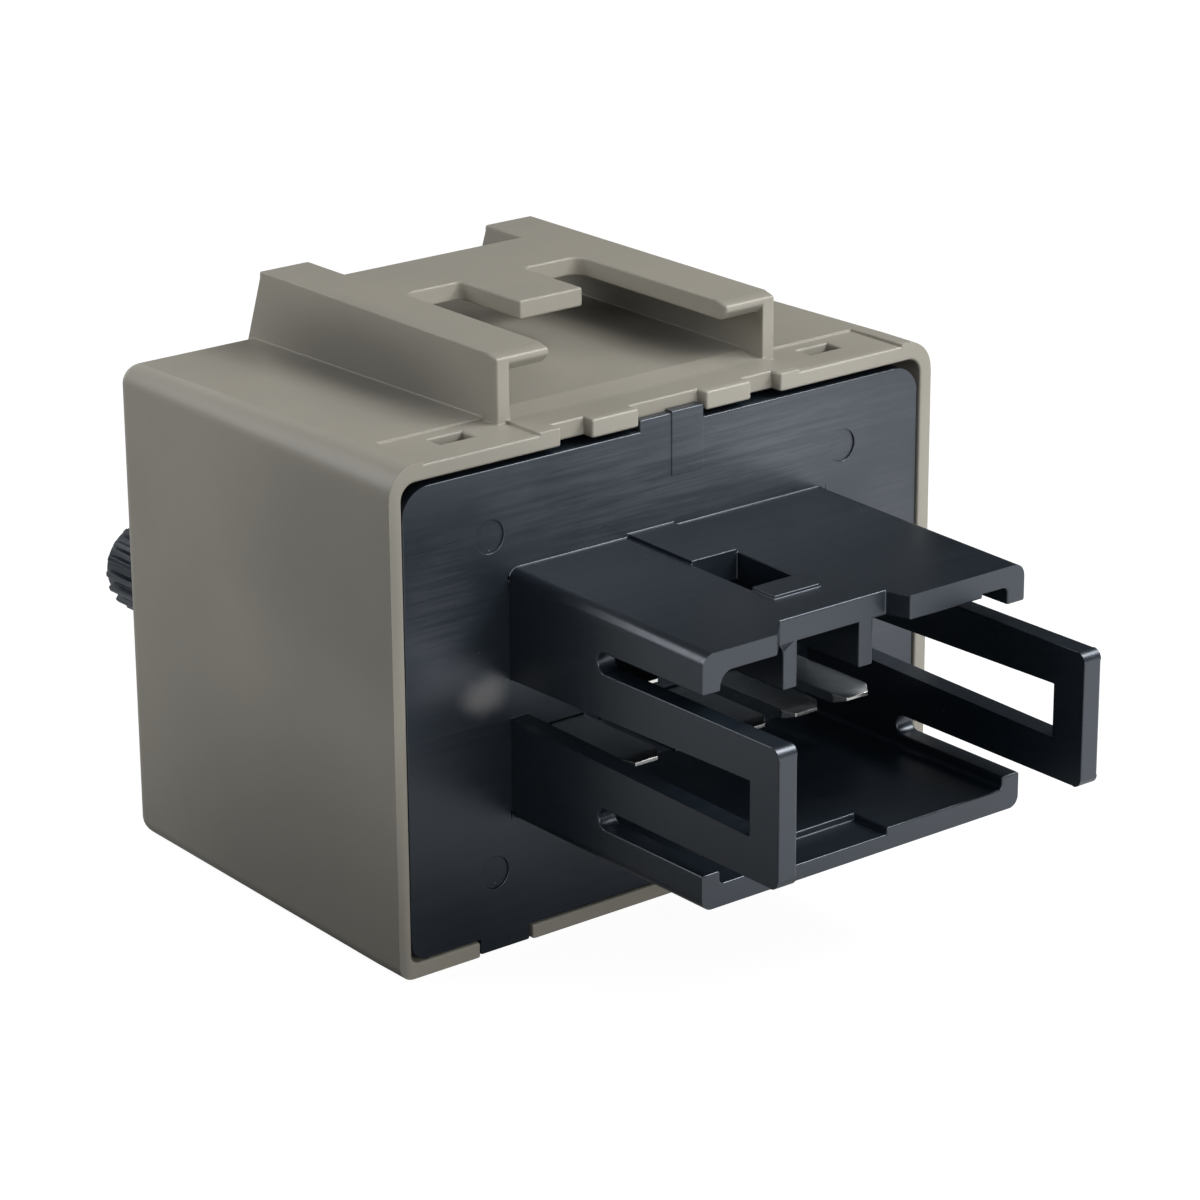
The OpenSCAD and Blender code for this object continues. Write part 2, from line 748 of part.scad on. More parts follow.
module relay_bobbin(i) color("#d8d4c6") at_relay(i) difference() {
    union() {
        translate([0, coil_y, bobbin_low]) cylinder(r = tube_r, h = bobbin_high - bobbin_low);
        for (z = [bobbin_low, bobbin_high - flange_t])
            block([-flange_half, coil_y - flange_half, z],
                  [flange_half, coil_y + flange_half, z + flange_t]);
        block([-flange_half, coil_y + flange_half - EPS, bobbin_low],
              [flange_half, coil_pin_y + 0.7, bobbin_low + flange_t]);
    }
    translate([0, coil_y, 0]) cylinder(r = core_r + 0.05, h = relay_h);
    for (pin = [relay_pins[3], relay_pins[4]]) pin_hole(pin, bobbin_low);
}

module relay_winding(i) color("#b5652b") at_relay(i) translate([0, coil_y, 0]) {
    low = bobbin_low + flange_t + 0.05;
    high = bobbin_high - flange_t - 0.05;
    translate([0, 0, low]) difference() {
        cylinder(r = winding_r, h = high - low);
        translate([0, 0, -CUT]) cylinder(r = tube_r + 0.05, h = relay_h);
    }
}

module relay_core(i) color("#9b9fa4") at_relay(i) translate([0, coil_y, 0]) {
    translate([0, 0, foot_top]) cylinder(r = core_r, h = head_z - foot_top + EPS);
    translate([0, 0, head_z]) cylinder(r = head_r, h = head_t);
    translate([0, 0, relay_base_h + 0.1]) cylinder(r = rivet_r, h = foot_t + EPS);
}

module relay_yoke(i) color("#8f9499") at_relay(i) {
    low = relay_base_h + EPS;
    difference() {
        union() {
            block([-foot_half, yoke_y, low], [foot_half, coil_y + winding_r, foot_top]);
            block([-yoke_half, yoke_y, low], [yoke_half, yoke_y + yoke_t, armature_z - hinge_gap]);
        }
        translate([0, coil_y, 0]) cylinder(r = rivet_r + 0.05, h = 2 * foot_top);
    }
    relay_pin(relay_pins[0], low + EPS);
}

module relay_armature(i) color("#a3a7ab") at_relay(i)
    block([-armature_half, yoke_y, armature_z], [armature_half, coil_y + head_r + 0.5, strip_z]);

module relay_moving_contact(i) color("#c8903f") at_relay(i) {
    gap = 0.02;
    block([-strip_half, yoke_y + yoke_t, strip_z + gap],
          [strip_half, contact_y + contact_r, strip_z + gap + strip_t]);
    translate([0, contact_y, strip_z + gap - button_h])
        cylinder(r = contact_r, h = 2 * button_h + strip_t, $fn = 32);
}

// A fixed contact: a leg at one side, a bar across to the middle and a button on it.
module fixed_contact(side, bar_z, button_z) {
    inner = -contact_r;
    outer = leg_x + leg_t / 2;
    scale([side, 1, 1]) {
        block([inner, contact_y - contact_bar / 2, bar_z],
              [outer, contact_y + contact_bar / 2, bar_z + bar_t]);
        block([outer - leg_t, contact_y - contact_bar / 2, relay_base_h],
              [outer, contact_y + contact_bar / 2, bar_z + EPS]);
    }
    relay_pin([side * leg_x, contact_y], relay_base_h + EPS);
    translate([0, contact_y, button_z]) cylinder(r = contact_r, h = button_h, $fn = 32);
}

module relay_closed_contact(i) color("#c8903f") at_relay(i) {
    button_z = strip_z + strip_t + button_h + 0.06;
    fixed_contact(1, button_z + button_h - EPS, button_z);
}

module relay_open_contact(i) color("#c8903f") at_relay(i) {
    button_top = strip_z - button_h - contact_travel;
    fixed_contact(-1, button_top - button_h - bar_t + EPS, button_top - button_h);
}

module relay_coil_pins(i) color("#c9ccd0") at_relay(i)
    for (pin = [relay_pins[3], relay_pins[4]]) relay_pin(pin, bobbin_low + 1.5);

// ---- Rate adjuster ----

module at_knob_axis(y) at_rim() translate([-knob_x, y, knob_z]) rotate([-90, 0, 0]) children();

module trimmer_body() color("#3566b0") {
    difference() {
        at_rim() block([-knob_x - trimmer_w / 2, trimmer_front, board_top + solder_t],
                       [-knob_x + trimmer_w / 2, trimmer_back, 2 * knob_z - board_top]);
        at_knob_axis(trimmer_back - rotor_l - 0.1) cylinder(r = rotor_r + shaft_gap, h = rotor_l + CUT);
    }
    at_rim() for (place = trimmer_leads)
        translate([place[0], place[1], 0])
            block([-pin_w / 2, -pin_w / 2, board_low - pin_tail], [pin_w / 2, pin_w / 2, board_top + 0.1]);
}

module trimmer_rotor() color("#e6e2d6") difference() {
    at_knob_axis(trimmer_back - rotor_l) cylinder(r = rotor_r, h = rotor_l + 0.5);
    at_knob_axis(trimmer_back - rotor_l + 0.5) cylinder(r = shaft_r + 0.03, h = rotor_l + CUT);
}

// Outline of the knob's head, with trapezoid ridges.
module ridged_outline() {
    step = 360 / knob_ridges;
    root_r = knob_r - 0.42;
    polygon([for (i = [0:knob_ridges - 1], point = [
        [root_r, -0.30], [knob_r, -0.16], [knob_r, 0.16], [root_r, 0.30]
    ]) point[0] * [cos((i + point[1]) * step), sin((i + point[1]) * step)]]);
}

module adjust_knob() color("#16181c") {
    shaft_start = trimmer_back - rotor_l + 0.55;
    head_l = knob_reach - knob_gap;
    at_knob_axis(shaft_start) cylinder(r = shaft_r, h = housing_d + knob_gap + EPS - shaft_start);
    difference() {
        at_knob_axis(housing_d + knob_gap) {
            linear_extrude(head_l - 0.5) ridged_outline();
            cylinder(r = knob_r - 0.42, h = head_l);
        }
        at_knob_axis(housing_d + knob_reach - 1) translate([-0.5, -knob_r, 0]) cube([1, 2 * knob_r, 2]);
    }
}

// ---- Other parts on the board ----

module square_lead(place, top) translate([place[0], place[1], 0])
    block([-0.3, -0.3, board_low - pin_tail], [0.3, 0.3, top]);

module at_capacitor() at_rim() translate([capacitor_xy[0], capacitor_xy[1], board_top + 0.05]) children();

module capacitor_can() color("#8a8f96") at_capacitor() difference() {
    cylinder(r = capacitor_r, h = capacitor_h);
    translate([0, 0, -CUT]) cylinder(r = capacitor_r - can_wall, h = CUT + seal_h + 0.05);
    translate([0, 0, capacitor_h]) for (angle = [0, 90])
        rotate([0, 0, angle]) cube([capacitor_r, 0.2, 0.6], center = true);
}

module capacitor_seal() color("#1f1d1b") {
    at_capacitor() cylinder(r = capacitor_r - can_wall - 0.02, h = seal_h);
    at_rim() for (place = capacitor_leads) square_lead(place, board_top + 0.1);
}

// Parts soldered flat to the underside of the board, in one band between the relays' pins.
module under_board(x) at_rim() translate([x, relay_y + under_y, board_low - solder_t])
    mirror([0, 0, 1]) children();

// A grid of like children about the origin.
module grid(columns, rows, pitch) for (i = [0:columns - 1], j = [0:rows - 1])
    translate([(i - (columns - 1) / 2) * pitch[0], (j - (rows - 1) / 2) * pitch[1], 0]) children();

module flat_chip(size) translate([-size[0] / 2, -size[1] / 2, 0]) cube(size);

module resistors() color("#3a3733") under_board(resistor_x) grid(3, 2, resistor_pitch)
    flat_chip(resistor_size);

module transistors() color("#202226") under_board(transistor_x) grid(1, 3, [0, transistor_pitch])
    flat_chip(transistor_size);

module diodes() color("#2c2a28") under_board(diode_x) grid(2, 1, [diode_pitch, 0])
    translate([0, diode_l / 2, diode_r]) rotate([90, 0, 0]) cylinder(r = diode_r, h = diode_l);

// The timer's body with its feet bent down to the board and a dimple at the first one.
module timer_chip() color("#2a2b2e") under_board(chip_x) {
    difference() {
        translate([-chip_l / 2, -chip_w / 2, chip_lift]) cube([chip_l, chip_w, chip_h]);
        translate([-chip_l / 2 + 1.2, -chip_w / 2 + 1.2, chip_lift + chip_h])
            cylinder(r = 0.5, h = 0.2, center = true);
    }
    for (side = [0, 1]) mirror([0, side, 0]) grid(4, 1, [chip_l / 4, 0]) {
        bend = chip_w / 2 + foot_l / 2;
        level = chip_lift + chip_h / 2;
        block([-foot_w / 2, chip_w / 2 - EPS, level], [foot_w / 2, bend, level + foot_h]);
        block([-foot_w / 2, bend - foot_h, 0], [foot_w / 2, bend, level + EPS]);
        block([-foot_w / 2, bend - foot_h, 0], [foot_w / 2, bend + foot_l / 2, foot_h]);
    }
}

// The bent wire that senses the lamp current.
module current_shunt() color("#b87844") at_rim() {
    span = shunt_leads[1][0] - shunt_leads[0][0];
    wire = 0.35;
    height = board_top + 3;
    for (place = shunt_leads) translate([place[0], place[1], board_low - pin_tail])
        cylinder(r = wire, h = height - board_low + pin_tail, $fn = 16);
    translate([(shunt_leads[0][0] + shunt_leads[1][0]) / 2, shunt_leads[0][1], height]) rotate([90, 0, 0])
        rotate_extrude(angle = 180) translate([span / 2, 0]) circle(wire, $fn = 16);
}

housing();
base_plate();
for (i = [0:4])
    terminal(lower_x[i], lower_row, lower_bend);
for (i = [0:2])
    terminal(upper_x[i], upper_row, upper_bend);
circuit_board();
solder_joints();
for (i = [0, 1]) {
    side = ["left", "right"][i];
    relay_base(i);
    relay_cover(i);
    relay_bobbin(i);
    relay_winding(i);
    relay_core(i);
    relay_yoke(i);
    relay_armature(i);
    relay_moving_contact(i);
    relay_closed_contact(i);
    relay_open_contact(i);
    relay_coil_pins(i);
}
trimmer_body();
trimmer_rotor();
adjust_knob();
capacitor_can();
capacitor_seal();
timer_chip();
transistors();
diodes();
resistors();
current_shunt();
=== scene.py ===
"""Automotive flasher relay: softened edges, finishes, wound coils and a plain studio."""

import json
import logging
import math
from collections.abc import Callable, Iterable, Iterator, Sequence
from dataclasses import dataclass, field
from enum import Enum

import bmesh
import bpy
from mathutils import Matrix, Quaternion, Vector
from mathutils.geometry import delaunay_2d_cdt


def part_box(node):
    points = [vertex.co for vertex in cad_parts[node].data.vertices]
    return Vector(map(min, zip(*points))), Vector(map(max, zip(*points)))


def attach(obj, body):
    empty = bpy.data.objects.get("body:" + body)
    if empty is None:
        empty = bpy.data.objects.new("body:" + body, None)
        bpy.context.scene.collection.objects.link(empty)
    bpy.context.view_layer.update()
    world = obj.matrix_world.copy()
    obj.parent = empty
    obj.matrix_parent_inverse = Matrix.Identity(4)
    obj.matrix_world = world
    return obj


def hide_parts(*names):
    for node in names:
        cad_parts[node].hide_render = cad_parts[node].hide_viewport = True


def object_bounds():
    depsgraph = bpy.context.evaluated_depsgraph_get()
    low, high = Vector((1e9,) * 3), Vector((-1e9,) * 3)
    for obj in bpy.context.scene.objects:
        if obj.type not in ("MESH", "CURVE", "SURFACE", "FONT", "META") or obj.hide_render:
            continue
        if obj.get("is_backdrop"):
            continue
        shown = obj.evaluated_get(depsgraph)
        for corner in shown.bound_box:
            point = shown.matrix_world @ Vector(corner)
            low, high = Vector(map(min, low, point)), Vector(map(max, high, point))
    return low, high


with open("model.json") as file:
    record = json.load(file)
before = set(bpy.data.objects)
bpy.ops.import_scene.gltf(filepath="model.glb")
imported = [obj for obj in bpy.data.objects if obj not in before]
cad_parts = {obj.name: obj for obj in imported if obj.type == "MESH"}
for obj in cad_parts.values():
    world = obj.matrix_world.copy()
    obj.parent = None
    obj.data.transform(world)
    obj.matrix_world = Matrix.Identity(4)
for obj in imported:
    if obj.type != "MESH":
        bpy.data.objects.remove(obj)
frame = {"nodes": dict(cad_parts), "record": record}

log = logging.getLogger("relay")

MM = 0.001
RGB = tuple[float, float, float]
XYZ = tuple[float, float, float]
Node = bpy.types.Node
Socket = bpy.types.NodeSocket
FLOAT = "NodeSocketFloat"
COLOR = "NodeSocketColor"
VECTOR = "NodeSocketVector"
# One side of an edge, as its face goes round it.
Half = bmesh.types.BMLoop
# Points in order, each with its shading normal.
Path = list[tuple[Vector, Vector]]


# ---- Node trees ----


class Graph:
    """A short way to add and link the nodes of one tree."""

    def __init__(self, tree: bpy.types.NodeTree) -> None:
        """Keeps the tree that the nodes go into."""
        self.tree = tree

    def add(self, kind: str, wires: dict | None = None, **settings: object) -> Node:
        """Adds a node.

        Args:
            kind: The node's class name.
            wires: Socket name or number to the value or the output socket that feeds it.
            settings: Properties of the node itself, such as operation.

        Returns:
            The new node.
        """
        node = self.tree.nodes.new(kind)
        for key, value in settings.items():
            setattr(node, key, value)
        for key, value in (wires or {}).items():
            self.feed(node.inputs[key], value)
        return node

    def feed(self, socket: Socket, value: object) -> None:
        """Links a socket to an output, or sets its plain value.

        Args:
            socket: The input that is fed.
            value: An output socket, a colour or another plain value.
        """
        if isinstance(value, Socket):
            self.tree.links.new(value, socket)
        elif isinstance(value, tuple) and socket.type == "RGBA":
            socket.default_value = (*value[:3], 1.0)
        else:
            socket.default_value = value

    def math(self, operation: str, a: object, b: object = 0.0, clamp: bool = False) -> Socket:
        """Returns the output of a Math node on two values or sockets."""
        node = self.add("ShaderNodeMath", {0: a, 1: b}, operation=operation, use_clamp=clamp)
        return node.outputs[0]

    def vector(self, operation: str, a: object, b: object = (0.0, 0.0, 0.0)) -> Socket:
        """Returns the output of a Vector Math node on two positions or sockets."""
        node = self.add("ShaderNodeVectorMath", {0: a, 1: b}, operation=operation)
        return node.outputs["Value" if operation in ("DOT_PRODUCT", "LENGTH") else "Vector"]

    def mix(self, factor: object, a: object, b: object) -> Socket:
        """Returns a colour mixed from two by a factor, on the Mix node's colour sockets."""
        return self.add("ShaderNodeMix", {0: factor, 6: a, 7: b}, data_type="RGBA").outputs[2]

    def ramp(
        self, value: object, low: float, high: float, to_low: float = 0.0, to_high: float = 1.0
    ) -> Socket:
        """Returns a value carried smoothly from one range to another, held at its ends."""
        wires = {0: value, 1: low, 2: high, 3: to_low, 4: to_high}
        return self.add("ShaderNodeMapRange", wires, interpolation_type="SMOOTHSTEP").outputs[0]

    def noise(self, vector: object, scale: float, detail: float = 2.0, rough: float = 0.5) -> Socket:
        """Returns the value of a Noise Texture on a position in millimetres."""
        wires = {"Vector": vector, "Scale": scale, "Detail": detail, "Roughness": rough}
        return self.add("ShaderNodeTexNoise", wires).outputs[0]


def millimetres(graph: Graph) -> Socket:
    """Returns the position on the object in millimetres."""
    place = graph.add("ShaderNodeTexCoord").outputs["Object"]
    return graph.vector("MULTIPLY", place, (1 / MM,) * 3)


def new_group(
    name: str,
    inputs: Sequence[tuple[str, str, object]],
    outputs: Sequence[tuple[str, str]],
    build: Callable[[Graph, Node, Node], None],
) -> bpy.types.NodeTree:
    """Makes a shader group with named sockets.

    Args:
        name: The group's name.
        inputs: Name, socket type and default value of each input.
        outputs: Name and socket type of each output.
        build: Fills the group between its input node and its output node.

    Returns:
        The group's tree.
    """
    tree = bpy.data.node_groups.new(name, "ShaderNodeTree")
    for label, kind, value in inputs:
        socket = tree.interface.new_socket(label, in_out="INPUT", socket_type=kind)
        socket.default_value = (*value, 1.0) if kind == COLOR else value
    for label, kind in outputs:
        tree.interface.new_socket(label, in_out="OUTPUT", socket_type=kind)
    graph = Graph(tree)
    build(graph, graph.add("NodeGroupInput"), graph.add("NodeGroupOutput"))
    return tree


class Skins:
    """The shader groups that the finishes share, each built once.

    Attributes:
        FLOW_WAY: Scale of moulded plastic's flow lines along each axis, small where they are drawn out.
        STREAK_WAY: Scale of the streaks of a patch of painted light or shade, along each axis.
        DUST: Colour of the specks.
        BARE: Share of the cells that hold no speck.
        OUTPUTS: The outputs of a finish's group.
    """

    FLOW_WAY = (0.06, 1.0, 1.6)
    STREAK_WAY = (0.10, 1.0, 2.4)
    DUST = (0.75, 0.74, 0.72)
    BARE = 0.86
    OUTPUTS = (("Color", COLOR), ("Roughness", FLOAT), ("Height", FLOAT))

    def __init__(self) -> None:
        """Builds the groups."""
        self.moulded = new_group(
            "moulded skin",
            (
                ("Color", COLOR, (0.5, 0.5, 0.5)),
                ("Shade", COLOR, (0.4, 0.4, 0.4)),
                ("Mottle", FLOAT, 0.2),
                ("Flow", FLOAT, 0.2),
                ("Specks", FLOAT, 0.1),
                ("Roughness", FLOAT, 0.4),
                ("Spread", FLOAT, 0.08),
            ),
            self.OUTPUTS,
            self._moulded,
        )
        self.drawn = new_group(
            "drawn metal",
            (
                ("Color", COLOR, (0.6, 0.6, 0.6)),
                ("Tarnish", COLOR, (0.4, 0.4, 0.4)),
                ("Amount", FLOAT, 0.3),
                ("Along", VECTOR, (1.0, 1.0, 1.0)),
                ("Roughness", FLOAT, 0.3),
                ("Spread", FLOAT, 0.1),
            ),
            self.OUTPUTS,
            self._drawn,
        )
        # Patches of painted light and shade, laid over a finish's colour.
        self.painted_patch = new_group(
            "soft haze",
            (
                ("Color", COLOR, (0.1, 0.1, 0.1)),
                ("PaintedShading", COLOR, (0.3, 0.3, 0.3)),
                ("Centre", VECTOR, (0.0, 0.0, 0.0)),
                ("Reach", VECTOR, (5.0, 5.0, 5.0)),
                ("Amount", FLOAT, 0.5),
                ("Ragged", FLOAT, 0.5),
                ("Streaks", FLOAT, 0.0),
            ),
            (("Color", COLOR),),
            self._painted_patch,
        )

    def _moulded(self, graph: Graph, given: Node, out: Node) -> None:
        """Cloudy colour, faint flow lines along X, tiny specks and a spark-eroded grain.

        Args:
            graph: The group's tree.
            given: The node that holds the group's inputs.
            out: The node that takes the group's outputs.
        """
        value = given.outputs
        place = millimetres(graph)
        cloud = graph.noise(place, scale=0.11, detail=3.0)
        flow = graph.noise(graph.vector("MULTIPLY", place, self.FLOW_WAY), scale=1.5, detail=4.0, rough=0.65)
        grain = graph.noise(place, scale=9.0)
        speck = graph.math("MULTIPLY", self._dust(graph, place), value["Specks"])
        shade = graph.math("MULTIPLY", graph.ramp(cloud, 0.3, 0.7), value["Mottle"])
        streak = graph.math("MULTIPLY", graph.ramp(flow, 0.42, 0.72), value["Flow"])
        amount = graph.math("ADD", shade, graph.math("MULTIPLY", streak, 0.5), clamp=True)
        color = graph.mix(amount, value["Color"], value["Shade"])
        uneven = graph.math("SUBTRACT", graph.math("ADD", cloud, flow), 1.0)
        rough = graph.math("MULTIPLY", uneven, value["Spread"])
        ridge = graph.math("MULTIPLY", flow, value["Flow"])
        graph.feed(out.inputs["Color"], graph.mix(speck, color, self.DUST))
        graph.feed(out.inputs["Roughness"], graph.math("ADD", value["Roughness"], rough, clamp=True))
        graph.feed(out.inputs["Height"], graph.math("ADD", graph.math("MULTIPLY", grain, 0.35), ridge))

    def _dust(self, graph: Graph, place: Socket) -> Socket:
        """Scatters specks of dust, at most one to a cell.

        Args:
            graph: The tree that the nodes go into.
            place: The position in millimetres.

        Returns:
            A mask that is 1 on a speck.
        """
        cells = graph.add("ShaderNodeTexVoronoi", {"Vector": place, "Scale": 1.1, "Randomness": 1.0})
        near = graph.ramp(cells.outputs["Distance"], 0.02, 0.06, 1.0, 0.0)
        pick = graph.add("ShaderNodeSeparateColor", {0: cells.outputs["Color"]}).outputs[0]
        return graph.math("MULTIPLY", near, graph.math("GREATER_THAN", pick, self.BARE))

    def _drawn(self, graph: Graph, given: Node, out: Node) -> None:
        """Fine lines along one axis and a cloudy tarnish.

        Args:
            graph: The group's tree.
            given: The node that holds the group's inputs.
            out: The node that takes the group's outputs.
        """
        value = given.outputs
        place = millimetres(graph)
        lines = graph.noise(graph.vector("MULTIPLY", place, value["Along"]), scale=7.0, detail=3.0, rough=0.6)
        cloud = graph.noise(place, scale=0.9, detail=3.0)
        amount = graph.math("MULTIPLY", graph.ramp(cloud, 0.35, 0.7), value["Amount"])
        color = graph.mix(amount, value["Color"], value["Tarnish"])
        color = graph.mix(graph.ramp(lines, 0.3, 0.8, 0.0, 0.25), color, value["Tarnish"])
        rough = graph.math("MULTIPLY", graph.math("SUBTRACT", lines, 0.5), value["Spread"])
        graph.feed(out.inputs["Color"], color)
        graph.feed(out.inputs["Roughness"], graph.math("ADD", value["Roughness"], rough, clamp=True))
        graph.feed(out.inputs["Height"], lines)

    def _painted_patch(self, graph: Graph, given: Node, out: Node) -> None:
        """A patch of painted light or shade round a point, ragged or drawn out in streaks along X.

        Args:
            graph: The group's tree.
            given: The node that holds the group's inputs.
            out: The node that takes the group's outputs.
        """
        value = given.outputs
        place = millimetres(graph)
        offset = graph.vector("SUBTRACT", place, value["Centre"])
        far = graph.vector("LENGTH", graph.vector("DIVIDE", offset, value["Reach"]))
        edge = graph.math("MULTIPLY", graph.noise(place, scale=0.5, detail=3.0), value["Ragged"])
        mask = graph.ramp(graph.math("ADD", far, edge), 0.35, 1.25, 1.0, 0.0)
        drawn_out = graph.vector("MULTIPLY", place, self.STREAK_WAY)
        lines = graph.noise(drawn_out, scale=1.6, detail=5.0, rough=0.7)
        swing = graph.math("SUBTRACT", graph.ramp(lines, 0.36, 0.66, 0.0, 2.0), 1.0)
        streaks = graph.math("ADD", graph.math("MULTIPLY", swing, value["Streaks"]), 1.0)
        mask = graph.math("MULTIPLY", mask, streaks)
        mask = graph.math("MULTIPLY", mask, value["Amount"], clamp=True)
        graph.feed(out.inputs["Color"], graph.mix(mask, value["Color"], value["PaintedShading"]))


SKINS = Skins()


# ---- Finishes ----


class Surface:
    """One material under construction: its tree, its shader and its output."""

    def __init__(self, name: str) -> None:
        """Starts a material with an empty tree.

        Args:
            name: The material's name.
        """
        self.material = bpy.data.materials.new(name)
        self.material.use_nodes = True
        self.material.node_tree.nodes.clear()
        self.graph = Graph(self.material.node_tree)
        self.shader = self.graph.add("ShaderNodeBsdfPrincipled")
        self.graph.add("ShaderNodeOutputMaterial", {"Surface": self.shader.outputs[0]})

    def group(self, tree: bpy.types.NodeTree, values: dict[str, object]) -> Node:
        """Returns a shader group placed in the material with its own values."""
        return self.graph.add("ShaderNodeGroup", values, node_tree=tree)

    def shade(self, color: object, roughness: object, height: object, depth: float, **plain: object) -> None:
        """Feeds the shader.

        Args:
            color: Base colour, as a value or a socket.
            roughness: Roughness, as a value or a socket.
            height: Height of the fine relief, as a socket.
            depth: Depth of that relief in metres.
            plain: Values set on the shader's own sockets, with underscores for spaces.
        """
        bump = self.graph.add("ShaderNodeBump", {"Strength": 1.0, "Distance": depth, "Height": height})
        self.graph.feed(self.shader.inputs["Base Color"], color)
        self.graph.feed(self.shader.inputs["Roughness"], roughness)
        self.graph.feed(self.shader.inputs["Normal"], bump.outputs[0])
        for key, value in plain.items():
            self.shader.inputs[key.replace("_", " ")].default_value = value


@dataclass(frozen=True)
class PaintedShading:
    """A patch of painted light or shade on a moulded face.

    Attributes:
        color: Its colour.
        centre: Its middle, in millimetres.
        reach: How far it runs along each axis, in millimetres.
        amount: How much of its colour shows in its middle.
        ragged: How uneven its border is.
        streaks: How much it breaks up into streaks along X.
    """

    color: RGB
    centre: XYZ
    reach: XYZ
    amount: float
    ragged: float = 0.5
    streaks: float = 0.0

    def over(self, surface: Surface, color: Socket) -> Socket:
        """Lays the patch over a colour.

        Args:
            surface: The material that it belongs to.
            color: The colour below it.

        Returns:
            The colour with the patch on it.
        """
        values = {
            "Color": color,
            "PaintedShading": self.color,
            "Centre": self.centre,
            "Reach": self.reach,
            "Amount": self.amount,
            "Ragged": self.ragged,
            "Streaks": self.streaks,
        }
        return surface.group(SKINS.painted_patch, values).outputs["Color"]


@dataclass(frozen=True)
class Moulded:
    """Moulded plastic with a fine grain, faint flow lines and a few specks of dust.

    Attributes:
        name: The material's name.
        color: Its main colour.
        shade: The colour of its clouds and flow lines.
        roughness: Its mean roughness.
        mottle: How much the clouds show.
        flow: How much the flow lines show.
        specks: How much the dust shows.
        spread: How much the roughness varies.
        depth_mm: Depth of the grain.
        specular: Strength of the mirror layer.
        tint: Colour of the mirror layer.
        painted_shading: Patches of painted light and shade, the last on top.
    """

    name: str
    color: RGB
    shade: RGB
    roughness: float
    mottle: float = 0.4
    flow: float = 0.2
    specks: float = 0.0
    spread: float = 0.08
    depth_mm: float = 0.002
    specular: float = 0.5
    tint: RGB = (1.0, 1.0, 1.0)
    painted_shading: tuple[PaintedShading, ...] = ()

    def material(self) -> bpy.types.Material:
        """Makes the finish.

        Returns:
            The finish as a material.
        """
        surface = Surface(self.name)
        skin = surface.group(
            SKINS.moulded,
            {
                "Color": self.color,
                "Shade": self.shade,
                "Mottle": self.mottle,
                "Flow": self.flow,
                "Specks": self.specks,
                "Roughness": self.roughness,
                "Spread": self.spread,
            },
        )
        color = skin.outputs["Color"]
        # Lays the patches of painted light and shade over the colour.
        for painted_patch in self.painted_shading:
            color = painted_patch.over(surface, color)
        surface.shade(
            color,
            skin.outputs["Roughness"],
            skin.outputs["Height"],
            self.depth_mm * MM,
            Specular_IOR_Level=self.specular,
            Specular_Tint=(*self.tint, 1.0),
        )
        return surface.material


@dataclass(frozen=True)
class Metal:
    """Drawn, stamped or plated metal with lines along one axis.

    Attributes:
        name: The material's name.
        color: Its main colour.
        tarnish: The colour of its lines and clouds.
        roughness: Its mean roughness.
        along: Scale of the lines along each axis, small where they are drawn out.
        amount: How much the tarnish shows.
        spread: How much the roughness varies.
        depth_mm: Depth of the lines.
    """

    name: str
    color: RGB
    tarnish: RGB
    roughness: float
    along: XYZ = (0.08, 1.0, 1.0)
    amount: float = 0.35
    spread: float = 0.12
    depth_mm: float = 0.0015

    def material(self) -> bpy.types.Material:
        """Makes the finish.

        Returns:
            The finish as a material.
        """
        surface = Surface(self.name)
        skin = surface.group(
            SKINS.drawn,
            {
                "Color": self.color,
                "Tarnish": self.tarnish,
                "Amount": self.amount,
                "Along": self.along,
                "Roughness": self.roughness,
                "Spread": self.spread,
            },
        )
        surface.shade(
            skin.outputs["Color"],
            skin.outputs["Roughness"],
            skin.outputs["Height"],
            self.depth_mm * MM,
            Metallic=1.0,
        )
        return surface.material


@dataclass(frozen=True)
class Laminate:
    """A circuit board: solder mask over copper tracks, with the glass weave faint below it.

    Attributes:
        name: The material's name.
        mask: Colour of the solder mask.
        track: Colour of the mask over a track.
        glass: Colour of the weave.
        roughness: Roughness of the mask.
        coat: Strength of the clear coat.
        cells: How many track cells go to a millimetre.
        pitch: Distance between tracks, as a share of a cell.
        weave_shows: How much the weave shows.
        depth_mm: Height of the tracks.
    """

    name: str
    mask: RGB
    track: RGB
    glass: RGB = (0.20, 0.34, 0.12)
    roughness: float = 0.32
    coat: float = 0.4
    cells: float = 0.32
    pitch: float = 0.22
    weave_shows: float = 0.12
    depth_mm: float = 0.02

    def material(self) -> bpy.types.Material:
        """Makes the finish.

        Returns:
            The finish as a material.
        """
        surface = Surface(self.name)
        graph = surface.graph
        place = graph.vector("MULTIPLY", millimetres(graph), (1.0, 1.0, 0.0))
        cells = graph.add(
            "ShaderNodeTexVoronoi",
            {"Vector": place, "Scale": self.cells, "Randomness": 0.85},
            distance="CHEBYCHEV",
            feature="F1",
        )
        rings = graph.math("PINGPONG", cells.outputs["Distance"], self.pitch)
        track = graph.ramp(rings, 0.09, 0.12)
        weave = graph.add("ShaderNodeTexWave", {"Vector": place, "Scale": 2.2, "Distortion": 0.6})
        color = graph.mix(track, self.mask, self.track)
        threads = graph.math("MULTIPLY", weave.outputs[1], self.weave_shows)
        color = graph.mix(threads, color, self.glass)
        surface.shade(color, self.roughness, track, self.depth_mm * MM, Coat_Weight=self.coat)
        return surface.material


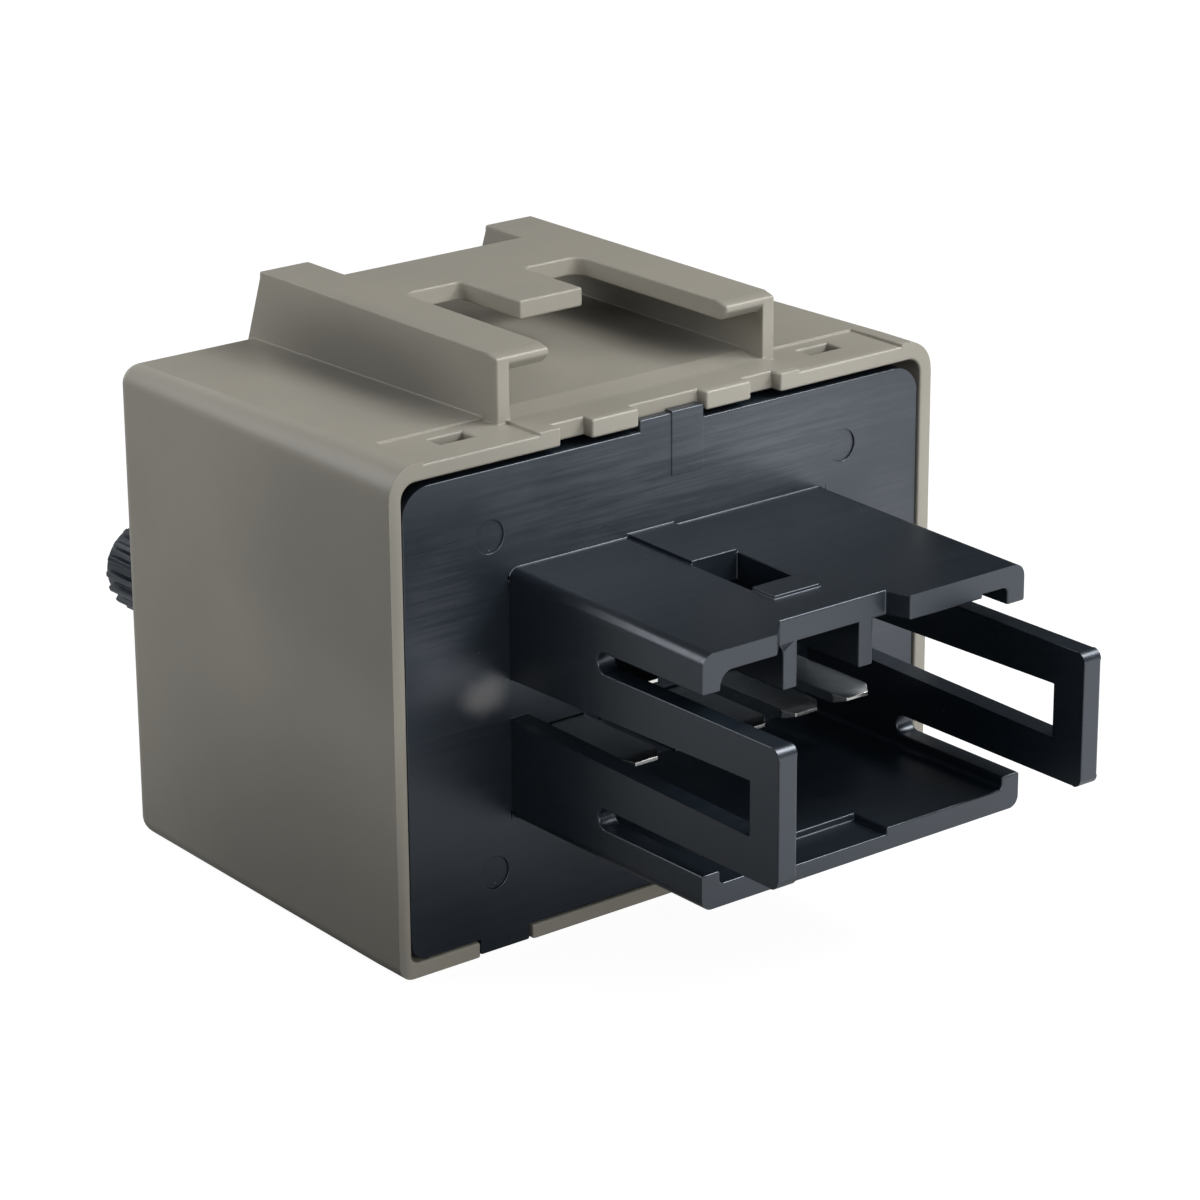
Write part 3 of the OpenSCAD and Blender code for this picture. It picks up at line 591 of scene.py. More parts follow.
class Finish(Enum):
    """The finishes of the relay, by the record's material slot."""

    HOUSING = "housing_plastic"
    BLACK = "black_plastic"
    TIN = "tinned_brass"
    BOARD = "board_laminate"
    SOLDER = "solder"
    RELAY_BASE = "relay_moulding"
    RELAY_COVER = "relay_cover"
    BOBBIN = "bobbin_plastic"
    COPPER = "copper_wire"
    IRON = "relay_iron"
    CONTACT = "contact_bronze"
    TRIMMER = "trimmer_plastic"
    CAN = "capacitor_aluminium"
    SEAL = "seal_rubber"
    EPOXY = "chip_epoxy"
    RESISTOR = "resistor_film"


# Places along Y, in millimetres, of the front rim's face and the base plate's, for the patches of painted
# light and shade.
RIM_FACE = -14.9
PLATE_FACE = -14.65
# A lighter grey that paints light on the front rim.
RIM_PAINTED_LIGHT = (0.450, 0.430, 0.375)
HOUSING_PAINTED_SHADE_AND_LIGHT = (
    # Painted shade at the foot of the bracket's left wall, and a painted shadow in the channel under its
    # right flange.
    PaintedShading((0.095, 0.090, 0.082), (-11.1, 1.5, 32.3), (2.5, 12.5, 3.9), amount=0.62, ragged=0.10),
    PaintedShading((0.060, 0.060, 0.063), (8.2, -1.0, 32.3), (2.7, 11.0, 3.0), amount=0.70, ragged=0.10),
    # Painted shade on the left side, low down and towards the front.
    PaintedShading((0.110, 0.106, 0.098), (-21.0, -4.0, -1.0), (0.8, 26.0, 16.0), amount=0.50, ragged=0.0),
    PaintedShading((0.150, 0.144, 0.130), (-21.0, -11.0, 24.0), (0.8, 14.0, 9.0), amount=0.35, ragged=0.0),
    # Painted light on the front rim's top and right side, and on the bracket's front.
    PaintedShading(RIM_PAINTED_LIGHT, (5.0, RIM_FACE, 32.5), (19.0, 0.7, 4.0), amount=0.60, ragged=0.0),
    PaintedShading(RIM_PAINTED_LIGHT, (20.8, RIM_FACE, 18.0), (1.6, 0.7, 15.0), amount=0.60, ragged=0.0),
    PaintedShading(RIM_PAINTED_LIGHT, (0.0, -11.7, 34.5), (14.0, 0.5, 3.0), amount=0.60, ragged=0.0),
)
PLATE_PAINTED_LIGHT = (
    # Painted sheen: pale streaks above the shroud and to its right.
    PaintedShading((0.066, 0.073, 0.086), (2.0, PLATE_FACE, 28.0), (22.0, 0.6, 5.6), 0.66, ragged=0.3, streaks=0.45),
    PaintedShading((0.055, 0.060, 0.070), (17.5, PLATE_FACE, 18.0), (4.0, 0.6, 9.0), 0.50, ragged=0.3, streaks=0.4),
    # A painted pool of light on the plate beside the shroud's left side, and its end on the shroud.
    PaintedShading((0.26, 0.255, 0.25), (-14.3, PLATE_FACE, 16.6), (2.4, 1.0, 1.7), amount=0.70),
    PaintedShading((0.13, 0.135, 0.14), (-12.4, -16.6, 15.2), (0.9, 2.2, 1.0), amount=0.50),
    # Painted sheen on the plate's left margin, round the pool of light and above it.
    PaintedShading((0.060, 0.063, 0.073), (-17.5, PLATE_FACE, 18.0), (5.0, 1.0, 2.0), amount=0.40),
    PaintedShading((0.050, 0.056, 0.068), (-17.5, PLATE_FACE, 23.0), (3.8, 0.6, 5.0), 0.45, ragged=0.3, streaks=0.5),
)

# Lines that run no way in particular.
EVEN = (1.0, 1.0, 1.0)

RECIPES: dict[Finish, Moulded | Metal | Laminate] = {
    Finish.HOUSING: Moulded(
        "warm grey satin plastic",
        color=(0.340, 0.320, 0.272),
        shade=(0.298, 0.284, 0.246),
        roughness=0.40,
        mottle=0.5,
        flow=0.12,
        specks=0.25,
        spread=0.10,
        depth_mm=0.0016,
        painted_shading=HOUSING_PAINTED_SHADE_AND_LIGHT,
    ),
    Finish.BLACK: Moulded(
        "blue-black satin plastic",
        color=(0.0055, 0.0100, 0.0155),
        shade=(0.0100, 0.0150, 0.0220),
        tint=(0.82, 0.89, 1.0),
        roughness=0.33,
        mottle=0.5,
        flow=0.5,
        specks=0.35,
        spread=0.20,
        depth_mm=0.0022,
        specular=1.0,
        painted_shading=PLATE_PAINTED_LIGHT,
    ),
    Finish.TIN: Metal("dull tin plating", (0.80, 0.80, 0.77), (0.50, 0.50, 0.49), 0.22),
    Finish.BOARD: Laminate("green laminate", (0.012, 0.085, 0.030), (0.025, 0.150, 0.050)),
    Finish.SOLDER: Metal("bright solder", (0.68, 0.69, 0.70), (0.45, 0.46, 0.47), 0.22, EVEN),
    Finish.RELAY_BASE: Moulded("black relay base", (0.018, 0.019, 0.022), (0.028, 0.029, 0.032), 0.48),
    Finish.RELAY_COVER: Moulded("blue relay cover", (0.020, 0.085, 0.330), (0.016, 0.065, 0.260), 0.26),
    Finish.BOBBIN: Moulded("ivory nylon", (0.70, 0.66, 0.54), (0.60, 0.55, 0.43), 0.42),
    Finish.COPPER: Metal("enamelled copper", (0.56, 0.20, 0.065), (0.32, 0.10, 0.035), 0.25, EVEN),
    Finish.IRON: Metal("nickelled iron", (0.50, 0.49, 0.46), (0.33, 0.32, 0.30), 0.34, (1.0, 1.0, 0.1)),
    Finish.CONTACT: Metal("spring bronze", (0.62, 0.38, 0.15), (0.40, 0.23, 0.09), 0.30, (1.0, 0.1, 1.0)),
    Finish.TRIMMER: Moulded("blue trimmer body", (0.022, 0.095, 0.300), (0.018, 0.075, 0.240), 0.34),
    Finish.CAN: Metal("drawn aluminium can", (0.62, 0.63, 0.64), (0.48, 0.49, 0.50), 0.28, (1.0, 1.0, 0.05)),
    Finish.SEAL: Moulded("black rubber bung", (0.016, 0.016, 0.016), (0.024, 0.024, 0.024), 0.70),
    Finish.EPOXY: Moulded("black moulding epoxy", (0.018, 0.018, 0.019), (0.028, 0.028, 0.029), 0.58),
    Finish.RESISTOR: Moulded("glazed resistor film", (0.020, 0.017, 0.015), (0.10, 0.10, 0.10), 0.35),
}


class Dresser:
    """Gives each finish its material, made at its first use."""

    def __init__(self) -> None:
        """Starts with no material made."""
        self._made: dict[Finish, bpy.types.Material] = {}

    def material(self, finish: Finish) -> bpy.types.Material:
        """Gives the material of a finish.

        Args:
            finish: The finish.

        Returns:
            Its material, the same one at every call.
        """
        if finish not in self._made:
            self._made[finish] = RECIPES[finish].material()
        return self._made[finish]

    def coat(self, piece: bpy.types.Object, finish: Finish) -> None:
        """Puts a finish on every material slot of a piece.

        Args:
            piece: The piece, with or without slots.
            finish: Its finish.
        """
        material = self.material(finish)
        if not piece.material_slots:
            piece.data.materials.append(material)
        for slot in piece.material_slots:
            slot.material = material


# ---- Making pieces ----


def body_of(node: str) -> str:
    """Returns the name of the body that a CAD node belongs to."""
    bodies = frame["record"]["behaviour"]["bodies"]
    return next(body for body, nodes in bodies.items() if node in nodes)


def add_object(name: str, mesh: bpy.types.Mesh) -> bpy.types.Object:
    """Links a mesh into the scene at the origin.

    Args:
        name: The new object's name.
        mesh: Its mesh.

    Returns:
        The new object.
    """
    piece = bpy.data.objects.new(name, mesh)
    bpy.context.scene.collection.objects.link(piece)
    return piece


def bake(holder: bpy.types.Object, name: str, place: Matrix) -> bpy.types.Object:
    """Turns an object with modifiers into a plain mesh object at the origin.

    Args:
        holder: The object whose modifiers are evaluated. It is removed.
        name: The new object's name.
        place: Where the shape goes in the row frame.

    Returns:
        The new object.
    """
    graph = bpy.context.evaluated_depsgraph_get()
    mesh = bpy.data.meshes.new_from_object(holder.evaluated_get(graph), depsgraph=graph)
    mesh.name = name
    mesh.transform(place)
    bpy.data.objects.remove(holder)
    return add_object(name, mesh)


@dataclass(frozen=True)
class Softening:
    """The small radius that a mould or a press leaves on the edges of a piece.

    Attributes:
        radius_mm: Radius of an outer edge.
        segments: Steps across a round.
        inside: Width of the round in an inner edge, as a share of the radius.
        crease_deg: Angle from which an edge is rounded.
        flat_deg: Angle up to which neighbouring faces count as one plane.
        share: Share of the room beside an edge that its round may take.
        merge_mm: Distance under which the source's points are one.
        least_mm: Width under which an edge is left sharp.
        facet_mm: Mean width under which a face counts as a facet of a round surface.
        weld_mm: Grid on which the new shape's points are joined.
    """

    radius_mm: float
    segments: int = 3
    inside: float = 0.7
    crease_deg: float = 26.0
    flat_deg: float = 0.3
    share: float = 0.42
    merge_mm: float = 0.001
    least_mm: float = 0.012
    facet_mm: float = 1.2
    weld_mm: float = 0.0003

    def copy(self, node: str, name: str) -> bpy.types.Object:
        """Copies a CAD node with rounded edges.

        Args:
            node: The CAD node to copy.
            name: The new object's name.

        Returns:
            The rounded copy, as a plain mesh at the origin.
        """
        return add_object(name, Rounder(self).rounded(frame["nodes"][node].data, name))


# Distance under which two points or two borders count as touching.
TOUCHING_MM = 1e-4
# Stands in for the squared length of a span that has none.
LEAST_SQUARE = 1e-12


@dataclass(frozen=True, eq=False)
class Span:
    """A border as a straight span of its region's outline, in millimetres.

    Attributes:
        half: The border's half-edge.
        a: Its first point.
        b: Its last point.
        outline: The number of its outline.
        start: How far along the outline it starts.
        end: How far along the outline it ends.
        total: The outline's whole length.
    """

    half: Half
    a: Vector
    b: Vector
    outline: int
    start: float
    end: float
    total: float

    def is_clear_of(self, other: "Span", near: float) -> bool:
        """Tells whether another span lies further away than a limit, along X."""
        mine, others = (self.a.x, self.b.x), (other.a.x, other.b.x)
        return min(mine) - max(others) > near or min(others) - max(mine) > near

    def way_round(self, other: "Span") -> float:
        """Returns how far it is along the outline to another span of it."""
        return min((other.start - self.end) % self.total, (self.start - other.end) % self.total)


class Rounder:
    """Rounds the edges of a closed solid by a small radius, face by face.

    Attributes:
        STRAIGHT: Sine of a turn up to which one border runs straight on into the next.
        REACH: How many radii away one border still narrows the round of another.
        DETOUR: How much longer than the gap the way round it is where the gap counts.
        AGREED: Difference between two starts of an edge that is split evenly, as a share of the larger.
        LEVEL: Shift of a round's middle that counts as none, as a share of the round's width.
        BULGE: Place of a corner's middle, from its vertex at 0 to its rim's mean at 1.
        SAME_MM: Distance up to which two points of an outline are one.
        EXACT_MM: Distance that counts as none where lengths are compared.
        SLIVER: Twice the area up to which a triangle is left out.
    """

    STRAIGHT = 0.08
    REACH = 2.5
    DETOUR = 1.35
    AGREED = 0.5
    LEVEL = 0.3
    BULGE = 0.66
    SAME_MM = 1e-5
    EXACT_MM = 1e-6
    SLIVER = 1e-9

    def __init__(self, softening: Softening) -> None:
        """Starts with an empty solid.

        Args:
            softening: The radius and its limits.
        """
        self.rule = softening
        self.shape = bmesh.new()
        self.points: list[Vector] = []
        self.facing: list[Vector] = []
        self.faces: list[tuple[int, ...]] = []
        self.region: dict[int, int] = {}
        self.normals: list[Vector] = []
        self.areas: list[float] = []
        self.narrow: list[bool] = []
        self.outlines: list[list[list[Half]]] = []
        self.width: dict[int, float] = {}
        self.corner: dict[Half, Vector] = {}
        self.extra_out: dict[Half, Vector] = {}
        self.extra_in: dict[Half, Vector] = {}
        self.shading: dict[Half, Vector] = {}

    def rounded(self, source: bpy.types.Mesh, name: str) -> bpy.types.Mesh:
        """Makes the rounded solid.

        Args:
            source: A closed mesh in metres.
            name: The new mesh's name.

        Returns:
            A new mesh in metres.
        """
        self.shape.from_mesh(source)
        self.shape.transform(Matrix.Scale(1 / MM, 4))
        bmesh.ops.remove_doubles(self.shape, verts=self.shape.verts, dist=self.rule.merge_mm)
        flat = math.radians(self.rule.flat_deg)
        bmesh.ops.dissolve_limit(self.shape, angle_limit=flat, verts=self.shape.verts, edges=self.shape.edges)
        self.shape.faces.index_update()
        self.shape.edges.index_update()
        self._find_regions()
        self._find_outlines()
        self._find_widths()
        self._find_corners()
        self._find_shading()
        for region in range(len(self.normals)):
            self._fill_region(region)
        self._add_strips()
        self._add_caps()
        self.shape.free()
        return self._to_mesh(name)

    def _find_regions(self) -> None:
        """Groups the faces that lie in one plane."""
        limit = math.cos(math.radians(self.rule.flat_deg))
        for seed in self.shape.faces:
            if seed.index in self.region:
                continue
            number = len(self.normals)
            self.region[seed.index] = number
            total = Vector()
            reach = 0.0
            waiting = [seed]
            while waiting:
                face = waiting.pop()
                total += face.normal * face.calc_area()
                for edge in face.edges:
                    reach = max(reach, edge.calc_length())
                    for other in edge.link_faces:
                        if other.index not in self.region and other.normal.dot(seed.normal) > limit:
                            self.region[other.index] = number
                            waiting.append(other)
            self.normals.append(total.normalized())
            self.areas.append(total.length)
            self.narrow.append(total.length < self.rule.facet_mm * reach)

    def _is_border(self, half: Half) -> bool:
        """Tells whether a half-edge parts two regions."""
        return self.region[half.face.index] != self.region[half.link_loop_radial_next.face.index]

    def _next(self, half: Half) -> Half:
        """Follows a region's outline forwards.

        Args:
            half: A border half-edge.

        Returns:
            The border half-edge after it, in the same region.
        """
        half = half.link_loop_next
        while not self._is_border(half):
            half = half.link_loop_radial_next.link_loop_next
        return half

    def _previous(self, half: Half) -> Half:
        """Follows a region's outline backwards.

        Args:
            half: A border half-edge.

        Returns:
            The border half-edge before it, in the same region.
        """
        half = half.link_loop_prev
        while not self._is_border(half):
            half = half.link_loop_radial_next.link_loop_prev
        return half

    def _find_outlines(self) -> None:
        """Gathers each region's border half-edges into closed outlines."""
        self.outlines = [[] for _ in self.normals]
        seen = set()
        for face in self.shape.faces:
            for start in face.loops:
                if start in seen or not self._is_border(start):
                    continue
                outline = []
                half = start
                while half not in seen:
                    seen.add(half)
                    outline.append(half)
                    half = self._next(half)
                self.outlines[self.region[face.index]].append(outline)

    def _find_widths(self) -> None:
        """Finds how far each edge is rounded, within the room that its two faces leave."""
        rule = self.rule
        crease = math.radians(rule.crease_deg)
        for edge in self.shape.edges:
            angle = edge.calc_face_angle_signed(0.0)
            if abs(angle) < crease or not self._is_border(edge.link_loops[0]):
                self.width[edge.index] = 0.0
            else:
                self.width[edge.index] = rule.radius_mm * (1.0 if angle > 0 else rule.inside)
        for region, outlines in enumerate(self.outlines):
            spans = [span for number, outline in enumerate(outlines) for span in spans_of(number, outline)]
            for span in spans:
                self._narrow_round(span, spans, self.normals[region])
        for key, value in self.width.items():
            if value < rule.least_mm:
                self.width[key] = 0.0

    def _narrow_round(self, span: Span, spans: list[Span], normal: Vector) -> None:
        """Narrows the round of one border to the room that its region leaves.

        Args:
            span: The border.
            spans: All the borders of its region.
            normal: The region's normal.
        """
        index = span.half.edge.index
        if self.width[index]:
            rooms = [*self._room_at_ends(span.half, normal), *self._room_beside(span, spans)]
            self.width[index] = min([self.width[index], *rooms])

    def _room_at_ends(self, half: Half, normal: Vector) -> Iterator[float]:
        """Finds the room that the outline's own turns leave beside a border.

        Args:
            half: The border.
            normal: Its region's normal.

        Yields:
            The widest round for each neighbour that turns in.
        """
        before, after = self._previous(half), self._next(half)
        for neighbour, turn in (
            (before, self._turn(before, half, normal)),
            (after, self._turn(half, after, normal)),
        ):
            if turn > self.STRAIGHT:
                yield self.rule.share * neighbour.edge.calc_length() * turn

    def _room_beside(self, span: Span, spans: list[Span]) -> Iterator[float]:
        """Finds the room that the other borders of a region leave beside one of them.

        Args:
            span: The border.
            spans: All the borders of its region.

        Yields:
            The widest round for each border that lies near.
        """
        near = self.REACH * self.rule.radius_mm
        for other in spans:
            if other is span or span.is_clear_of(other, near):
                continue
            gap = span_gap(span.a, span.b, other.a, other.b)
            if gap < TOUCHING_MM or gap > near:
                continue
            if span.outline == other.outline and span.way_round(other) < self.DETOUR * gap:
                continue
            yield self.rule.share * gap

    @staticmethod
    def _turn(first: Half, second: Half, normal: Vector) -> float:
        """Returns the sine of the left turn between two half-edges that meet."""
        return along(first).cross(along(second)).dot(normal)

    def _find_corners(self) -> None:
        """Finds where each region's corners move to, keyed by the half-edge that leaves them."""
        for region, outlines in enumerate(self.outlines):
            normal = self.normals[region]
            for outline in outlines:
                for half in outline:
                    self.corner[half] = self._inset(self._previous(half), half, normal)
        for half in list(self.corner):
            if not self.width[half.edge.index]:
                self._agree(half)

    def _inset(self, before: Half, after: Half, normal: Vector) -> Vector:
        """Moves the corner between two borders into their region by the widths of their rounds.

        Args:
            before: The border that ends at the corner.
            after: The border that starts there.
            normal: The region's normal.

        Returns:
            The moved corner.
        """
        w_in, w_out = self.width[before.edge.index], self.width[after.edge.index]
        origin = after.vert.co
        if not w_in and not w_out:
            return origin.copy()
        d_in, d_out = along(before), along(after)
        turn = d_in.cross(d_out).dot(normal)
        if abs(turn) > self.STRAIGHT:
            return origin - d_in * (w_out / turn) + d_out * (w_in / turn)
        side = (normal.cross(d_in) + normal.cross(d_out)).normalized()
        return origin + side * (w_in + w_out) / 2

    def _agree(self, half: Half) -> None:
        """Makes two regions agree on where a sharp or smooth edge starts.

        Args:
            half: The edge's half in one of them.
        """
        twin_corner = self._next(half.link_loop_radial_next)
        origin, way = half.vert.co, along(half)
        here = (self.corner[half] - origin).dot(way)
        there = (self.corner[twin_corner] - origin).dot(way)
        if abs(here - there) < self.AGREED * max(here, there, 0.0) + self.EXACT_MM:
            place = origin + way * (here + there) / 2
            self.corner[half] = place
            self.corner[twin_corner] = place.copy()
        elif here < there:
            self.extra_out[half] = origin + way * there
        else:
            self.extra_in[twin_corner] = origin + way * here

    def _flows(self, half: Half) -> bool:
        """Tells whether shading runs on over a border, as between the facets of a round surface.

        Args:
            half: The border.

        Returns:
            True where it runs on.
        """
        if self.width[half.edge.index] or half.edge.calc_face_angle(0.0) > math.radians(self.rule.crease_deg):
            return False
        here = self.region[half.face.index]
        there = self.region[half.link_loop_radial_next.face.index]
        return self.narrow[here] or self.narrow[there]

    def _blend(self, regions: Iterable[int]) -> Vector:
        """Returns the mean normal of some regions, by area."""
        return sum((self.normals[region] * self.areas[region] for region in regions), Vector()).normalized()

    def _find_shading(self) -> None:
        """Finds the shading normal of each corner, keyed as the corners are."""
        for half in self.corner:
            regions = {self.region[half.face.index]}
            self._gather(half, regions, lambda step: self._next(step.link_loop_radial_next))
            before = self._previous(half)
            self._gather(before, regions, lambda step: self._previous(step.link_loop_radial_next))
            self.shading[half] = self._blend(regions)

    def _gather(self, step: Half, regions: set[int], turn: Callable[[Half], Half]) -> None:
        """Adds the regions that shading runs into round a corner, turning one way from a border.

        Args:
            step: The border to start at.
            regions: The regions found so far, which grows.
            turn: Gives the next border round the corner.
        """
        while self._flows(step):
            step = turn(step)
            number = self.region[step.face.index]
            if number in regions:
                return
            regions.add(number)

    def _border_shading(self, half: Half) -> Vector:
        """Finds the shading normal part of the way along a border.

        Args:
            half: The border.

        Returns:
            The normal in its own region.
        """
        regions = {self.region[half.face.index]}
        if self._flows(half):
            regions.add(self.region[half.link_loop_radial_next.face.index])
        return self._blend(regions)

    def _chain(self, half: Half) -> Path:
        """Gives the points that a corner has become.

        Args:
            half: The border that leaves the corner.

        Returns:
            One to three points, in the order of the outline.
        """
        chain = []
        if half in self.extra_in:
            chain.append((self.extra_in[half], self._border_shading(self._previous(half))))
        chain.append((self.corner[half], self.shading[half]))
        if half in self.extra_out:
            chain.append((self.extra_out[half], self._border_shading(half)))
        return chain

    def _fill_region(self, region: int) -> None:
        """Fills one region between its moved outlines.

        Args:
            region: The region's number.
        """
        path: Path = []
        edges: list[tuple[int, int]] = []
        for outline in self.outlines[region]:
            ring: list[int] = []
            for point, shading in (pair for half in outline for pair in self._chain(half)):
                if not ring or (path[ring[-1]][0] - point).length > self.SAME_MM:
                    ring.append(len(path))
                    path.append((point, shading))
            while len(ring) > 1 and (path[ring[0]][0] - path[ring[-1]][0]).length <= self.SAME_MM:
                ring.pop()
            if len(ring) > 2:
                edges += zip(ring, ring[1:] + ring[:1])
        if edges:
            self._fill_flat(path, edges, self.normals[region])

    def _fill_flat(self, path: Path, edges: list[tuple[int, int]], normal: Vector) -> None:
        """Adds the triangles of a flat face with any number of outlines.

        Args:
            path: The points of all its outlines.
            edges: The outlines' edges, as pairs of point numbers.
            normal: The way that the face looks.
        """
        across = normal.orthogonal().normalized()
        up = normal.cross(across)
        level = path[0][0].dot(normal)
        flat = [Vector((point.dot(across), point.dot(up))) for point, _ in path]
        places, _, triangles, sources, _, _ = delaunay_2d_cdt(flat, edges, [], 0, self.EXACT_MM)
        base = len(self.points)
        for place, source in zip(places, sources):
            lifted = across * place.x + up * place.y + normal * level
            point, shading = path[source[0]] if source else (lifted, normal)
            self.points.append(point)
            self.facing.append(shading)
        walls = [(flat[a], flat[b]) for a, b in edges]
        for triangle in triangles:
            a, b, c = (places[index] for index in triangle)
            area = (b - a).cross(c - a)
            if abs(area) > self.SLIVER and inside((a + b + c) / 3, walls):
                turned = triangle if area > 0 else triangle[::-1]
                self.faces.append(tuple(base + index for index in turned))

    def _profile(self, half: Half) -> Path:
        """Works out the round at the start of an edge.

        Args:
            half: The edge's half in the region that the round starts from.

        Returns:
            The points across the round, from that region to its neighbour.
        """
        origin, way = half.vert.co, along(half)
        beyond = self._next(half.link_loop_radial_next)
        a, b = self.corner[half], self.corner[beyond]
        facing_a, facing_b = self.shading[half], self.shading[beyond]
        shift = ((a - origin).dot(way) + (b - origin).dot(way)) / 2
        if abs(shift) < self.LEVEL * self.width[half.edge.index]:
            shift = 0.0
        control = origin + way * shift
        count = self.rule.segments
        profile = []
        for step in range(count + 1):
            t = step / count
            point = a * (1 - t) ** 2 + control * 2 * t * (1 - t) + b * t**2
            profile.append((point, facing_a.lerp(facing_b, t).normalized()))
        return profile

    def _add_strips(self) -> None:
        """Adds the rounds along the edges."""
        for edge in self.shape.edges:
            if not self.width[edge.index]:
                continue
            half, twin = edge.link_loops
            near = self._profile(half)
            far = self._profile(twin)[::-1]
            base = len(self.points)
            for point, shading in near + far:
                self.points.append(point)
                self.facing.append(shading)
            count = len(near)
            for step in range(count - 1):
                a, b = base + step, base + step + 1
                self.faces.append((a + count, a, b, b + count))

    def _add_caps(self) -> None:
        """Closes the corner round each vertex."""
        done = set()
        for start in self.corner:
            if start in done:
                continue
            ring: Path = []
            half = start
            while half not in done:
                done.add(half)
                ring += self._chain(half)[::-1]
                turned = self._previous(half).link_loop_radial_next
                if self.width[turned.edge.index]:
                    ring += self._profile(turned)[::-1][1:-1]
                half = turned
            self._fill_cap(start.vert.co, ring)

    def _fill_cap(self, origin: Vector, ring: Path) -> None:
        """Fills one corner with a fan of triangles.

        Args:
            origin: The vertex that the corner was.
            ring: The corner's rim.
        """
        ring = without_spikes(ring)
        if len(ring) < 3:
            return
        count = len(ring)
        base = len(self.points)
        mean = sum((point for point, _ in ring), Vector()) / count
        middle = sum((shading for _, shading in ring), Vector())
        ring.append((origin + (mean - origin) * self.BULGE, middle.normalized()))
        for point, shading in ring:
            self.points.append(point)
            self.facing.append(shading)
        for k in range(count):
            self.faces.append((base + count, base + k, base + (k + 1) % count))

    def _to_mesh(self, name: str) -> bpy.types.Mesh:
        """Joins all the points and faces into one mesh, with its shading normals.

        Args:
            name: The new mesh's name.

        Returns:
            The mesh, in metres.
        """
        joined: dict[tuple[int, ...], int] = {}
        places: list[Vector] = []
        number = []
        for point in self.points:
            key = tuple(round(value / self.rule.weld_mm) for value in point)
            if key not in joined:
                joined[key] = len(places)
                places.append(point * MM)
            number.append(joined[key])
        faces, facing = [], []
        for face in self.faces:
            corners = [corner for k, corner in enumerate(face) if number[corner] != number[face[k - 1]]]
            if len({number[corner] for corner in corners}) == len(corners) > 2:
                faces.append([number[corner] for corner in corners])
                facing += [self.facing[corner] for corner in corners]
        mesh = bpy.data.meshes.new(name)
        mesh.from_pydata(places, [], faces)
        mesh.polygons.foreach_set("use_smooth", [True] * len(faces))
        mesh.normals_split_custom_set(facing)
        return mesh


def without_spikes(ring: Path) -> Path:
    """Takes out repeated points and paths that turn straight back.

    Args:
        ring: A closed ring.

    Returns:
        The ring without them.
    """
    points = list(ring)
    changed = True
    while changed and len(points) > 2:
        changed = False
        for k in range(len(points)):
            if (points[k][0] - points[k - 1][0]).length < TOUCHING_MM:
                del points[k]
                changed = True
                break
            if (points[k][0] - points[k - 2][0]).length < TOUCHING_MM:
                for index in sorted((k, (k - 1) % len(points)), reverse=True):
                    del points[index]
                changed = True
                break
    return points


def spans_of(number: int, outline: list[Half]) -> Iterator[Span]:
    """Measures the borders of one outline.

    Args:
        number: The outline's number.
        outline: Its half-edges in order.

    Yields:
        Each half-edge as a span.
    """
    total = sum(half.edge.calc_length() for half in outline)
    run = 0.0
    for half in outline:
        a, b = half.vert.co, half.link_loop_next.vert.co
        length = (b - a).length
        yield Span(half, a, b, number, run, run + length, total)
        run += length


def along(half: Half) -> Vector:
    """Returns the direction of a half-edge."""
    return (half.link_loop_next.vert.co - half.vert.co).normalized()


def span_gap(a: Vector, b: Vector, c: Vector, d: Vector) -> float:
    """Returns the distance between two spans that don't cross."""
    return min(point_gap(a, c, d), point_gap(b, c, d), point_gap(c, a, b), point_gap(d, a, b))


def point_gap(point: Vector, a: Vector, b: Vector) -> float:
    """Measures from a point to a span.

    Args:
        point: The point.
        a: The span's first point.
        b: The span's last point.

    Returns:
        The shortest distance.
    """
    way = b - a
    t = max(0.0, min(1.0, (point - a).dot(way) / max(way.length_squared, LEAST_SQUARE)))
    return (a + way * t - point).length


def inside(point: Vector, walls: Sequence[tuple[Vector, Vector]]) -> bool:
    """Tells whether a flat point lies inside closed outlines, by counting crossings.

    Args:
        point: The point, in two dimensions.
        walls: The outlines' edges.

    Returns:
        True where it lies inside.
    """
    odd = False
    for a, b in walls:
        if (a.y > point.y) != (b.y > point.y):
            if point.x < a.x + (point.y - a.y) * (b.x - a.x) / (b.y - a.y):
                odd = not odd
    return odd


@dataclass
class Placed:
    """A sub-assembly's shared tools for handing its pieces over.

    Attributes:
        dresser: Where its finishes come from.
    """

    dresser: Dresser

    def finish_piece(self, piece: bpy.types.Object, finish: Finish, node: str) -> None:
        """Dresses a new piece and lets it stand for a CAD node.

        Args:
            piece: The new piece.
            finish: Its finish.
            node: The CAD node that it replaces.
        """
        self.dresser.coat(piece, finish)
        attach(piece, body_of(node))
        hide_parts(node)
        log.info("%s stands for %s", piece.name, node)

    def dress_nodes(self, finish: Finish, nodes: Iterable[str]) -> None:
        """Dresses CAD nodes that keep their own shape.

        Args:
            finish: Their finish.
            nodes: Their names.
        """
        for node in nodes:
            self.dresser.coat(frame["nodes"][node], finish)
            log.info("%s keeps its shape, in %s", node, finish.value)


# ---- Sub-assemblies ----


@dataclass
class Housing(Placed):
    """The grey housing with its bracket.

    Attributes:
        softening: Rounding of its edges.
    """

    softening: Softening = Softening(0.16)

    def build(self) -> None:
        """Makes the softened housing."""
        piece = self.softening.copy("housing", "housing_shell")
        self.finish_piece(piece, Finish.HOUSING, "housing")


